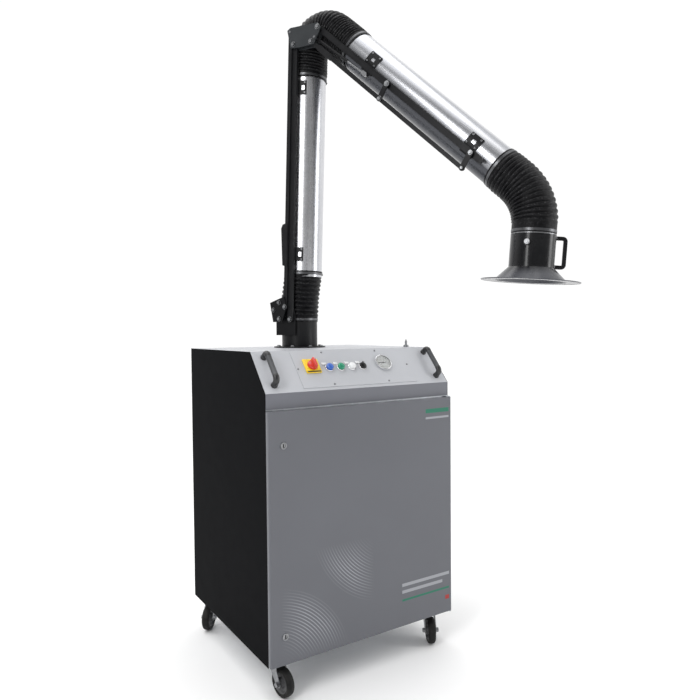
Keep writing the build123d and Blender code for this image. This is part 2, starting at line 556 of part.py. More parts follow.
def clamp(centre, direction, beam_side):
    """Saddle round the linkage side of a tube, with its pad under the beam, which is off to one side."""
    tall = SADDLE_L
    axis = (direction[0], 0, direction[1])
    across = (direction[1], 0, -direction[0])
    low = (centre[0] - direction[0] * tall / 2, 0, centre[1] - direction[1] * tall / 2)
    plane = Plane(origin=low, x_dir=across, z_dir=axis)
    ring = Circle(TUBE_R + SADDLE_T) - Circle(TUBE_R + FIT)
    # the sketch's y runs square to the arm's plane; the linkage side faces -Y in the arm frame
    out = 1 if plane.y_dir.Y < 0 else -1
    wedge = make_face(Polyline((0, 0), (-70, out * 120), (66, out * 120), close=True))
    saddle = extrude(plane * (ring & wedge), amount=tall)
    pad_t = BEAM[0] + 2 - TUBE_R / 2
    pad_face = Pos(beam_side, out * (TUBE_R + pad_t) / 2) * Rectangle(BEAM_W - 4, pad_t)
    saddle += extrude(plane * pad_face, amount=tall) - rod(low, axis, TUBE_R + 2, tall)
    # the window lies half way between the beam's edge and the saddle's far edge
    turn = -out * (18 + beam_side * 0.4)
    window = Rot(0, 0, turn) * (Pos(0, out * TUBE_R) * Rectangle(WINDOW_W, 30))
    window_low = plane.offset((tall - WINDOW_L) / 2)
    return saddle - extrude(window_low * window, amount=WINDOW_L)


def arc_hose(start, start_dir, corner, end, end_dir, tangent):
    """Hollow hose: straight, one arc tangent at both sides of the corner, straight."""
    first = (corner[0] - start_dir[0] * tangent, 0, corner[1] - start_dir[1] * tangent)
    last = (corner[0] + end_dir[0] * tangent, 0, corner[1] + end_dir[1] * tangent)
    begin = (start[0], 0, start[1])
    arc = TangentArc(first, last, tangent=(start_dir[0], 0, start_dir[1]))
    path = Wire([Line(begin, first).edge(), arc.edge(), Line(last, (end[0], 0, end[1])).edge()])
    place = Plane(origin=begin, z_dir=(start_dir[0], 0, start_dir[1]))
    return sweep(place * (Circle(HOSE_OUT) - Circle(HOSE_IN)), path=path)


def arm_base():
    """Turning collar with the bracket that carries the lower arm."""
    low = BODY_TOP + FIXED_H + FIT
    collar = tube((0, 0, low), (0, 0, 1), TUBE_R, TUBE_R - TUBE_WALL, COLLAR_TOP - low)
    neck = TUBE_R - TUBE_WALL - FIT
    collar += tube((0, 0, low - 34), (0, 0, 1), neck, neck - TUBE_WALL, 34)
    collar += tube((0, 0, low), (0, 0, 1), TUBE_R, neck - TUBE_WALL, 4)
    box = block(-BRACKET_BACK, 22, -CHEEK[1], -55, low + 2, BASE_HOSE_LOW - 3)
    box -= rod((0, 0, low - 5), (0, 0, 1), TUBE_R - 1, 100)
    side = Polyline((-BRACKET_BACK, low + 2), (34, low + 2), (36, PIVOT_Z + 14), (20, PIVOT_Z + 90),
                    (0, PIVOT_Z + BRACKET_UP), (-70, PIVOT_Z + 70), (-BRACKET_BACK, PIVOT_Z - 8),
                    close=True)
    bracket = flat(make_face(side), CHEEK)
    second = shift(FOOT, LOWER_LINK)
    outer = Polyline((-70, PIVOT_Z + 70), (0, PIVOT_Z + BRACKET_UP), (12, PIVOT_Z + 50),
                     (-10, PIVOT_Z - 10), (-55, PIVOT_Z - 10), close=True)
    bracket += flat(make_face(outer), OUTER)
    spacers = [(-54, PIVOT_Z + 40), (-26, PIVOT_Z + 3), (-26, PIVOT_Z + 70)]
    for spot in spacers:
        bracket += pin(spot, (CHEEK[0], OUTER[1] + HEAD_T), PIN_R)
        bracket += pin(spot, (OUTER[0], OUTER[1] + HEAD_T), BOLT_R)
    bracket += pin(FOOT, (CHEEK[0], ROD[0]), PIN_R)
    bracket += pin(FOOT, (BEAM[1] + FIT, BEAM[1] + HEAD_T), BOLT_R + 1)
    bracket += pin(second, (ROD[0], OUTER[1] + HEAD_T), PIN_R)
    bracket += pin(second, (OUTER[0], OUTER[1] + HEAD_T), BOLT_R)
    save("swivel_collar", ARM * (collar + box + bracket))


def lower_arm():
    """Lower tube, beam with clamps, and the parallel rod."""
    begin = on_lower(LOWER_TUBE_FROM - HOSE_GRIP)
    axis = (LOWER_DIR[0], 0, LOWER_DIR[1])
    length = LOWER_TUBE_TO - LOWER_TUBE_FROM + 2 * HOSE_GRIP
    save("lower_tube", ARM * tube((begin[0], 0, begin[1]), axis, TUBE_R, TUBE_R - TUBE_WALL, length))
    beam = link(FOOT, ELBOW_LOW, BEAM_W, BEAM) - pin(FOOT, (0, 200), PIN_R + BORE_GAP)
    beam -= pin(ELBOW_LOW, (0, 200), PIN_R + BORE_GAP)
    for along in LOWER_SADDLES:
        beam += clamp(on_lower(along), LOWER_DIR, 0)
    save("lower_beam", ARM * beam)
    first = shift(FOOT, LOWER_LINK)
    last = shift(ELBOW_LOW, LOWER_LINK)
    bar = link(first, last, ROD_W, ROD) - pin(first, (0, 200), PIN_R + BORE_GAP)
    bar -= pin(last, (0, 200), PIN_R + 1.0)
    cover = Polyline(on_lower(215, -12), on_lower(222, -34), on_lower(372, -43), on_lower(388, -36),
                     on_lower(394, -14), close=True)
    bar += flat(make_face(cover), (ROD[1] - 1, ROD[1] + 3))
    save("lower_rod", ARM * bar)


def elbow():
    """Two cheeks that join the lower linkage to the upper one."""
    second = shift(ELBOW_LOW, LOWER_LINK)
    third = shift(ELBOW_UP, UPPER_LINK)
    spring = shift(ELBOW_UP, SPRING_BASE)
    outline = Polyline(shift(second, (-11, 7)), shift(second, (4, 15)), shift(ELBOW_UP, (2, 15)),
                       shift(ELBOW_UP, (16, -6)), shift(third, (15, -14)), shift(third, (-52, -13)),
                       shift(ELBOW_LOW, (-12, -14)), close=True)
    plate = flat(make_face(outline), CHEEK) + flat(make_face(outline), OUTER)
    # the lower beam's pin stops inside the beam, clear of the rod that swings past it
    for centre in (ELBOW_LOW, ELBOW_UP, third, spring):
        plate += pin(centre, (CHEEK[0], BEAM[1] if centre == ELBOW_LOW else OUTER[1]), PIN_R)
        plate += pin(centre, (OUTER[0], OUTER[1] + HEAD_T), BOLT_R)
    middle = (ELBOW_LOW[0] + 46, ELBOW_LOW[1] + 26)
    plate += pin(middle, (CHEEK[0], OUTER[1]), PIN_R)
    save("elbow_plate", ARM * plate)


def upper_arm():
    """Upper beam with clamps, parallel rod, two cross links and the gas spring."""
    far = on_upper(END_LINK_AT + 40)
    beam = link(ELBOW_UP, far, BEAM_W, BEAM) - pin(ELBOW_UP, (0, 200), PIN_R + BORE_GAP)
    for along in UPPER_SADDLES:
        beam += clamp(on_upper(along, UPPER_TUBE_OFF), (-UPPER_DIR[0], -UPPER_DIR[1]), -UPPER_TUBE_OFF)
    lug = on_upper(*SPRING_LUG)
    lug_root = on_upper(SPRING_LUG[0] + 8)
    beam += link(lug, lug_root, 18, CHEEK) + pin(lug_root, (CHEEK[0] + 1, BEAM[0] + 3), 8)
    drop = UPPER_LINK
    rod_start = shift(ELBOW_UP, drop)
    bar = link(rod_start, shift(on_upper(END_LINK_AT), drop), ROD_W, ROD)
    bar -= pin(rod_start, (0, 200), PIN_R + BORE_GAP)
    for along, name in ((MID_LINK_AT, "mid_link"), (END_LINK_AT, "end_link")):
        top = on_upper(along)
        low = shift(top, drop)
        beam += pin(top, (BEAM[0], OUTER[1]), PIN_R)
        bar -= pin(low, (0, 200), PIN_R + 1.0)
        strap = link(top, low, ROD_W + 4, OUTER) - pin(top, (0, 200), PIN_R + BORE_GAP)
        strap += pin(low, (ROD[0], OUTER[1] + HEAD_T), PIN_R)
        strap += pin(low, (OUTER[0], OUTER[1] + HEAD_T), BOLT_R)
        save(name, ARM * strap)
    bar += link(on_upper(60, -57.3), on_upper(130, -57.3), ROD_W + 6, ROD)
    save("upper_rod", ARM * bar)
    save("upper_beam", Compound(children=[ARM * beam, ARM * wrist_knuckle()]))
    eye = shift(ELBOW_UP, SPRING_BASE)
    span = (lug[0] - eye[0], lug[1] - eye[1])
    run = hypot(*span)
    unit = (span[0] / run, span[1] / run)
    aim = (unit[0], 0, unit[1])
    start = (eye[0] + unit[0] * 14, -SPRING_S, eye[1] + unit[1] * 14)
    layer = (SPRING_S - SPRING_R + 1, SPRING_S + SPRING_R - 1)
    case = link(eye, shift(eye, (unit[0] * 12, unit[1] * 12)), 20, layer)
    case += rod(start, aim, SPRING_R + 0.3, SPRING_BODY)
    case -= pin(eye, (0, 200), PIN_R + BORE_GAP)
    bore_start = (eye[0] + unit[0] * 30, -SPRING_S, eye[1] + unit[1] * 30)
    case -= rod(bore_start, aim, 4 + BORE_GAP, SPRING_BODY)
    save("gas_cylinder", ARM * case)
    piston_start = (eye[0] + unit[0] * 60, -SPRING_S, eye[1] + unit[1] * 60)
    piston = rod(piston_start, aim, 4, run - 60 - 6)
    piston += link(shift(lug, (-unit[0] * 12, -unit[1] * 12)), lug, 16, layer)
    save("gas_piston", ARM * piston)


def hood_place(shape):
    """Put a shape drawn down the hood's axis from the wrist pivot into the arm frame."""
    return Pos(WRIST[0], 0, WRIST[1]) * Rot(0, HOOD_LEAN, 0) * shape


def wrist_knuckle():
    """Cross inside the end of the upper tube, its stem, and the fork at the wrist."""
    axis = (UPPER_DIR[0], 0, UPPER_DIR[1])
    cross_at = on_upper(UPPER_TUBE_TO - SPIDER_IN, UPPER_TUBE_OFF)
    start = on_upper(UPPER_TUBE_TO - SPIDER_IN - 4, UPPER_TUBE_OFF)
    stem = rod((start[0], 0, start[1]), axis, 8, WRIST_AT - UPPER_TUBE_TO + SPIDER_IN + 4 - KNUCKLE_BACK)
    knuckle = on_upper(WRIST_AT - KNUCKLE_BACK, UPPER_TUBE_OFF)
    fork = pin(WRIST, (-KNUCKLE_OUT, -KNUCKLE_IN), KNUCKLE_OUT)
    fork += pin(WRIST, (KNUCKLE_IN, KNUCKLE_OUT), KNUCKLE_OUT)
    fork += pin(WRIST, (-KNUCKLE_OUT, KNUCKLE_OUT), WRIST_PIN_R)
    fork += Pos(knuckle[0], 0, knuckle[1]) * Rot(0, UPPER_FALL, 0) * Box(10, 2 * KNUCKLE_OUT, 20)
    reach = 2 * (TUBE_R - TUBE_WALL - FIT)
    spokes = Box(12, reach, 8) + Box(12, 8, reach)
    spokes = Pos(cross_at[0], 0, cross_at[1]) * Rot(0, UPPER_FALL, 0) * spokes
    return stem + fork + spokes


def wrist_and_hood():
    """Upper tube, stem with its turning cuff, hood and damper."""
    axis = (UPPER_DIR[0], 0, UPPER_DIR[1])
    begin = on_upper(UPPER_TUBE_FROM, UPPER_TUBE_OFF)
    save("upper_tube", ARM * tube((begin[0], 0, begin[1]), axis, TUBE_R, TUBE_R - TUBE_WALL,
                                  UPPER_TUBE_TO - UPPER_TUBE_FROM))
    stem = Pos(0, 0, -CUFF_FROM - 6) * post(6, CUFF_FROM - 1)
    eye_t = 2 * KNUCKLE_IN - 2
    eye_plane = Plane(origin=(0, eye_t / 2, 0), x_dir=(1, 0, 0), z_dir=(0, -1, 0))
    stem += extrude(eye_plane * Circle(11), amount=eye_t)
    stem -= rod((0, -20, 0), (0, 1, 0), WRIST_PIN_R + BORE_GAP, 40)
    cuff_out = COLLAR_R - HOOD_WALL - FIT
    cuff_h = CUFF_TO - CUFF_FROM
    stem += Pos(0, 0, -CUFF_TO) * (post(cuff_out, cuff_h) - post(cuff_out - 2, cuff_h))
    for turn in (0, 90):
        stem += Rot(0, 0, turn) * block(-cuff_out + 1, cuff_out - 1, -3, 3, -CUFF_FROM - 6, -CUFF_FROM)
    stem += Pos(0, 0, -COLLAR_FROM + 1) * (post(COLLAR_R, 2) - post(cuff_out - 1, 2))
    save("wrist_stem", ARM * hood_place(stem))
    body = revolve(Plane.XZ * make_face(Polyline(
        (COLLAR_R, -COLLAR_FROM), (COLLAR_R, -COLLAR_TO), (CONE_R, -BRIM_AT + 2), (BRIM_R, -BRIM_AT + 2),
        (BRIM_R, -BRIM_AT), (CONE_R - 1, -BRIM_AT), (COLLAR_R - HOOD_WALL, -COLLAR_TO - 1),
        (COLLAR_R - HOOD_WALL, -COLLAR_FROM), close=True)), Axis.Z)
    root = (COLLAR_R - 1, 0, -COLLAR_FROM - 6)
    grip_path = FilletPolyline(root, (COLLAR_R + 36, 0, -COLLAR_FROM - 6),
                               (COLLAR_R + 36, 0, -COLLAR_TO + 6), (COLLAR_R - 1, 0, -COLLAR_TO + 6),
                               radius=10)
    grip = sweep(Plane(origin=root, z_dir=(1, 0, 0)) * Rectangle(14, 5), path=grip_path)
    body += Rot(0, 0, HOOD_GRIP_TURN) * grip
    body -= rod((0, -100, -DAMPER_AT), (0, 1, 0), 4 + BORE_GAP, 200)
    save("hood", ARM * hood_place(body))
    damper = rod((0, -COLLAR_R - 8, -DAMPER_AT), (0, 1, 0), 4, 2 * COLLAR_R + 12)
    damper += Pos(0, 0, -DAMPER_AT) * Rot(0, 90, 0) * Cylinder(DAMPER_R, 1.6)
    damper += rod((0, -COLLAR_R - 12, -DAMPER_AT), (0, 1, 0), 10, 11)
    save("damper", ARM * hood_place(damper))


def hoses():
    """Three corrugated hoses as plain hollow bends; the elbow hose is drawn in two halves."""
    top = on_lower(LOWER_TUBE_FROM)
    base = tube((0, 0, BASE_HOSE_LOW), (0, 0, 1), HOSE_OUT, HOSE_IN, 20)
    bend = Spline((0, 0, BASE_HOSE_LOW + 20), (top[0], 0, top[1]),
                  tangents=[(0, 0, 1), (LOWER_DIR[0], 0, LOWER_DIR[1])])
    ring = Pos(0, 0, BASE_HOSE_LOW + 20) * (Circle(HOSE_OUT) - Circle(HOSE_IN + 3))
    save("base_hose", ARM * (base + sweep(ring, path=bend)))
    low = on_lower(LOWER_TUBE_TO)
    up = on_upper(UPPER_TUBE_FROM + HOSE_GRIP, UPPER_TUBE_OFF)
    turn = radians(90 - LOWER_LEAN + UPPER_FALL)
    # corner where the two tube axes meet
    gap = (up[0] - low[0], up[1] - low[1])
    cross = LOWER_DIR[0] * UPPER_DIR[1] - LOWER_DIR[1] * UPPER_DIR[0]
    first_run = (gap[0] * UPPER_DIR[1] - gap[1] * UPPER_DIR[0]) / cross
    corner = (low[0] + LOWER_DIR[0] * first_run, low[1] + LOWER_DIR[1] * first_run)
    tangent = ELBOW_R * tan(turn / 2)
    start = (corner[0] - LOWER_DIR[0] * tangent, corner[1] - LOWER_DIR[1] * tangent)
    centre = (start[0] + LOWER_DIR[1] * ELBOW_R, start[1] - LOWER_DIR[0] * ELBOW_R)
    crown = (centre[0], 0, centre[1] + ELBOW_R)
    finish = (corner[0] + UPPER_DIR[0] * tangent, corner[1] + UPPER_DIR[1] * tangent)
    section = Circle(HOSE_OUT) - Circle(HOSE_IN)
    heading = (LOWER_DIR[0], 0, LOWER_DIR[1])
    rise = Wire([Line((low[0], 0, low[1]), (start[0], 0, start[1])).edge(),
                 TangentArc((start[0], 0, start[1]), crown, tangent=heading).edge()])
    fall = Wire([TangentArc(crown, (finish[0], 0, finish[1]), tangent=(1, 0, 0)).edge(),
                 Line((finish[0], 0, finish[1]), (up[0], 0, up[1])).edge()])
    foot = Plane(origin=(low[0], 0, low[1]), z_dir=heading)
    save("elbow_hose_lower", ARM * sweep(foot * section, path=rise))
    save("elbow_hose_upper", ARM * sweep(Plane(origin=crown, z_dir=(1, 0, 0)) * section, path=fall))
    begin = on_upper(UPPER_TUBE_TO - HOSE_GRIP, UPPER_TUBE_OFF)
    end = (WRIST[0] + HOOD_DIR[0] * (COLLAR_FROM - 4), WRIST[1] + HOOD_DIR[1] * (COLLAR_FROM - 4))
    save("wrist_hose", ARM * arc_hose(begin, UPPER_DIR, WRIST, end, HOOD_DIR, 96))


cabinet_shell()
door()
plates = []
corners = (("front_left", -1, -1), ("front_right", 1, -1), ("rear_left", -1, 1), ("rear_right", 1, 1))
for corner, side_x, side_y in corners:
    plates.append(caster(corner, side_x, side_y))
save("caster_plates", Compound(children=plates))
console_controls()
cabinet_inside()
cabinet_fittings()
arm_base()
lower_arm()
elbow()
upper_arm()
wrist_and_hood()
hoses()
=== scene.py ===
"""Looks of the mobile fume extractor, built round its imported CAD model. Metres, Z up."""
import json
from math import cos, hypot, pi, radians, sin, tan

import bmesh
import bpy
from mathutils import Matrix, Vector, noise


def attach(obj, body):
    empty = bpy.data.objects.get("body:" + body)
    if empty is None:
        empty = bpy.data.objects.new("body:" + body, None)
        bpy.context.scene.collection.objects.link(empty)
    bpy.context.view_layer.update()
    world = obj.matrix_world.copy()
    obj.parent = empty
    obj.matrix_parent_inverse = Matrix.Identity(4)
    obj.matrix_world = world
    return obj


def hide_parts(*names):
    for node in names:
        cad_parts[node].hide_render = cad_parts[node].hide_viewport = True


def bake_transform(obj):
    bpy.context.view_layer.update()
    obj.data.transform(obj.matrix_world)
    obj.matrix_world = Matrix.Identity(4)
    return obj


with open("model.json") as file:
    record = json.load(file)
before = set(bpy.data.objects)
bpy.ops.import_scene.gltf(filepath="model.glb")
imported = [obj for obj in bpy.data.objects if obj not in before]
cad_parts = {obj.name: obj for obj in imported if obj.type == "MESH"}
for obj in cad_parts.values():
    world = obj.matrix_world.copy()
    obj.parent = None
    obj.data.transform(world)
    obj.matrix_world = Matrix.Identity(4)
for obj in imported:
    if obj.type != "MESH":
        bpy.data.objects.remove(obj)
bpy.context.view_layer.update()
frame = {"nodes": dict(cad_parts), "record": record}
NODES = frame["nodes"]
SCENE = bpy.context.scene

# ---- sizes shared with the CAD model ------------------------------------------------------------
BODY_TOP = 1.179
FRONT = -0.358
HALF_W = 0.400
SLOPE_RUN, SLOPE_DROP = 0.118, 0.137
SLOPE_LEN = hypot(SLOPE_RUN, SLOPE_DROP)
SURFACE = 0.0018
DOOR_FACE = FRONT - 0.0035 - 0.018
DOOR_TOP, DOOR_LOW = 0.9835, 0.128
LOCK_X = -HALF_W + 0.055
LOCK_Z = (DOOR_TOP - 0.115, DOOR_LOW + 0.096)
CASTER_IN = 0.056
BUTTON_X, BUTTON_PITCH, BUTTON_UP = -0.115, 0.0485, 0.004
SWITCH_X, SWITCH_UP, SWITCH_PLATE = -0.184, 0.014, 0.061
GAUGE_X, GAUGE_UP, GAUGE_R = 0.130, 0.015, 0.035
HANDLE_X, HANDLE_REACH, HANDLE_H, HANDLE_R = 0.356, 0.060, 0.042, 0.0095
ARM_Y, ARM_BEARING = 0.132, radians(-62)
LOWER_LEAN, UPPER_FALL, HOOD_LEAN = radians(2.1), radians(43), radians(4.3)
FOOT = Vector((0.0184, 1.297))
LOWER_DIR = Vector((sin(LOWER_LEAN), cos(LOWER_LEAN)))
LOWER_SIDE = Vector((LOWER_DIR.y, -LOWER_DIR.x))
ELBOW_LOW = FOOT + LOWER_DIR * 1.1046
ELBOW_UP = ELBOW_LOW + Vector((0.1138, 0.0444))
UPPER_DIR = Vector((cos(UPPER_FALL), -sin(UPPER_FALL)))
UPPER_SIDE = Vector((-UPPER_DIR.y, UPPER_DIR.x))
LOWER_LINK, UPPER_LINK = Vector((-0.016, 0.052)), Vector((-0.031, -0.050))
SPRING_BASE = Vector((-0.011, -0.039))
TUBE_OFF = 0.022
TUBE_R, HOSE_OUT = 0.075, 0.0805
CUFF_R, CUFF_LENGTH, RIB_RISE = HOSE_OUT - 0.0031, 0.018, 0.014
VALLEY_R, HOSE_SKIN = 0.0752, 0.0012
BASE_PITCH, ELBOW_PITCH, WRIST_PITCH = 0.0185, 0.0118, 0.0150
LOWER_TUBE = (0.204, 0.990)
UPPER_TUBE = (0.149, 0.924)
LOWER_SADDLES, UPPER_SADDLES = (0.270, 0.945), (0.276, 0.816)
MID_LINK, END_LINK = 0.410, 0.848
ELBOW_BEND = 0.084
WRIST = ELBOW_UP + UPPER_DIR * 1.103 + UPPER_SIDE * TUBE_OFF
HOOD_DIR = Vector((-sin(HOOD_LEAN), -cos(HOOD_LEAN)))
OUTER_TOP = 0.116
BEAM_TOP = 0.1025
COLLAR_R, COLLAR_FROM, COLLAR_TO, BRIM_AT, BRIM_R = 0.078, 0.131, 0.244, 0.292, 0.171
HOOD_GRIP_TURN = radians(29)
DAMPER_AT = 0.162
QUARTER = Matrix.Rotation(radians(90), 4, "X")
ARM = Matrix.Translation((0, ARM_Y, 0)) @ Matrix.Rotation(ARM_BEARING, 4, "Z")
SLOPE = Matrix((
    (1, 0, 0, 0),
    (0, SLOPE_RUN / SLOPE_LEN, -SLOPE_DROP / SLOPE_LEN, FRONT + SLOPE_RUN / 2),
    (0, SLOPE_DROP / SLOPE_LEN, SLOPE_RUN / SLOPE_LEN, BODY_TOP - SLOPE_DROP / 2),
    (0, 0, 0, 1)))
WRIST_FRAME = ARM @ Matrix.Translation((WRIST.x, 0, WRIST.y)) @ Matrix.Rotation(HOOD_LEAN, 4, "Y")


def at_arm(point, out=0.0):
    """World point of a place in the arm's plane, a distance out on the linkage side."""
    return ARM @ Vector((point[0], -out, point[1]))


def on_lower(along, side=0.0):
    return FOOT + LOWER_DIR * along + LOWER_SIDE * side


def on_upper(along, side=0.0):
    return ELBOW_UP + UPPER_DIR * along + UPPER_SIDE * side


def facing(point, direction):
    """Place whose Z runs along a direction."""
    return Matrix.Translation(point) @ Vector(direction).to_track_quat("Z", "Y").to_matrix().to_4x4()


def out_of_arm(point, out):
    """Place on the linkage side with Z pointing away from the arm's plane."""
    return ARM @ Matrix.Translation((point[0], -out, point[1])) @ QUARTER


def on_slope(x, up, height=0.0):
    return SLOPE @ Matrix.Translation((x, up, height))


# ---- materials ------------------------------------------------------------------------------------
MATERIALS = {}


class Shader:
    """Node tree round one principled shader."""

    def __init__(self, name, rough=0.5, metallic=0.0, **sockets):
        self.mat = bpy.data.materials.new(name)
        self.mat.use_nodes = True
        self.tree = self.mat.node_tree
        self.shader = next(n for n in self.tree.nodes if n.type == "BSDF_PRINCIPLED")
        self.shader.inputs["Roughness"].default_value = rough
        self.shader.inputs["Metallic"].default_value = metallic
        for key, value in sockets.items():
            self.shader.inputs[key.replace("_", " ")].default_value = value
        self.coord = self.tree.nodes.new("ShaderNodeTexCoord").outputs["Object"]
        MATERIALS[name] = self.mat

    def node(self, kind, **values):
        made = self.tree.nodes.new(kind)
        for key, value in values.items():
            setattr(made, key, value)
        return made

    def link(self, out, into):
        self.tree.links.new(out, into)

    def mapped(self, stretch, rotation=(0, 0, 0)):
        """Object coordinates turned back by a rotation, then multiplied along each axis."""
        made = self.node("ShaderNodeMapping", vector_type="TEXTURE")
        made.inputs["Scale"].default_value = [1 / value for value in stretch]
        made.inputs["Rotation"].default_value = rotation
        self.link(self.coord, made.inputs["Vector"])
        return made.outputs["Vector"]

    def noise(self, scale, detail=3.0, rough=0.55, source=None):
        made = self.node("ShaderNodeTexNoise")
        made.inputs["Scale"].default_value = scale
        made.inputs["Detail"].default_value = detail
        made.inputs["Roughness"].default_value = rough
        self.link(source or self.coord, made.inputs["Vector"])
        return made.outputs["Fac"]

    def spread(self, value, low, high, first=0.3, last=0.7):
        made = self.node("ShaderNodeMapRange")
        made.inputs["From Min"].default_value = first
        made.inputs["From Max"].default_value = last
        made.inputs["To Min"].default_value = low
        made.inputs["To Max"].default_value = high
        self.link(value, made.inputs["Value"])
        return made.outputs["Result"]

    def math(self, operation, first, second=None, third=None, clamp=False):
        made = self.node("ShaderNodeMath", operation=operation, use_clamp=clamp)
        for socket, value in zip(made.inputs, (first, second, third)):
            if value is None:
                continue
            if isinstance(value, (int, float)):
                socket.default_value = value
            else:
                self.link(value, socket)
        return made.outputs[0]

    def mix(self, factor, first, second):
        made = self.node("ShaderNodeMix", data_type="RGBA")
        for socket, value in ((made.inputs[0], factor), (made.inputs[6], first), (made.inputs[7], second)):
            if isinstance(value, (int, float)):
                socket.default_value = value
            elif isinstance(value, tuple):
                socket.default_value = (*value, 1.0)
            else:
                self.link(value, socket)
        return made.outputs[2]

    def color(self, out):
        self.link(out, self.shader.inputs["Base Color"])

    def rough(self, out):
        self.link(out, self.shader.inputs["Roughness"])

    def bump(self, height, strength=0.3, distance=0.001):
        made = self.node("ShaderNodeBump")
        made.inputs["Strength"].default_value = strength
        made.inputs["Distance"].default_value = distance
        self.link(height, made.inputs["Height"])
        self.link(made.outputs["Normal"], self.shader.inputs["Normal"])

    def edges(self, low=0.505, high=0.56):
        geometry = self.node("ShaderNodeNewGeometry")
        return self.spread(geometry.outputs["Pointiness"], 0.0, 1.0, low, high)


def scaled(color, factor):
    return tuple(min(1.0, c * factor) for c in color)


def painted(name, color, rough, grain, bump=0.25, wear=0.35, tint=0.12, coat=0.0, shine=0.5,
            mottle=1.0):
    """Powder coat: mottled tone, orange-peel grain, and edges rubbed a little lighter."""
    s = Shader(name, rough=rough, Coat_Weight=coat, Coat_Roughness=0.2, Specular_IOR_Level=shine)
    tone = s.mix(s.spread(s.noise(3.0, 4.0), 0, 1), scaled(color, 1 - tint), scaled(color, 1 + tint))
    s.color(s.mix(s.math("MULTIPLY", s.edges(), wear), tone, tuple(c * 1.5 + 0.03 for c in color)))
    s.rough(s.spread(s.noise(22.0, 5.0), rough - 0.06 * mottle, rough + 0.08 * mottle))
    s.bump(s.noise(grain, 2.0, 0.5), bump, 0.0006)
    return s


def bare_metal(name, color, rough, stretch, rotation=(0, 0, 0), metallic=1.0, bump=0.12, tint=0.10,
               mottle=1.0):
    """Drawn, rolled or plated metal with grain along one direction."""
    s = Shader(name, rough=rough, metallic=metallic)
    grain = s.noise(1.0, 5.0, 0.6, s.mapped(stretch, rotation))
    dull = s.noise(14.0, 5.0, 0.6)
    s.color(s.mix(s.spread(s.math("ADD", grain, dull), 0.0, 1.0, 0.8, 1.2),
                  scaled(color, 1 - tint), scaled(color, 1 + tint)))
    s.rough(s.spread(s.math("ADD", s.math("MULTIPLY", grain, 0.5), s.math("MULTIPLY", dull, 0.5)),
                     rough - 0.07 * mottle, rough + 0.09 * mottle))
    s.bump(grain, bump, 0.0002)
    return s


def plastic(name, color, rough=0.3, grain=900.0, bump=0.08, coat=0.2):
    """Moulded plastic: faint mottling and a fine eroded skin."""
    s = Shader(name, rough=rough, Coat_Weight=coat, Coat_Roughness=0.15)
    s.color(s.mix(s.spread(s.noise(60.0, 4.0), 0, 1), scaled(color, 0.88), scaled(color, 1.08)))
    s.rough(s.spread(s.noise(120.0, 3.0), rough - 0.05, rough + 0.08))
    s.bump(s.noise(grain, 2.0), bump, 0.0003)
    return s


def upper_tube_underside_shade(s):
    """Mask that is one on the lower third of the upper tube and none above it: painted shade, darkening the
    underside as if it reflected darker surroundings below.
    """
    up = ARM.to_3x3() @ Vector((UPPER_SIDE.x, 0, UPPER_SIDE.y))
    dot = s.node("ShaderNodeVectorMath", operation="DOT_PRODUCT")
    s.link(s.coord, dot.inputs[0])
    dot.inputs[1].default_value = up
    axis_height = at_arm(on_upper(0, TUBE_OFF)).dot(up)
    return s.spread(dot.outputs["Value"], 1.0, 0.0, axis_height - 0.42 * TUBE_R,
                    axis_height - 0.22 * TUBE_R)


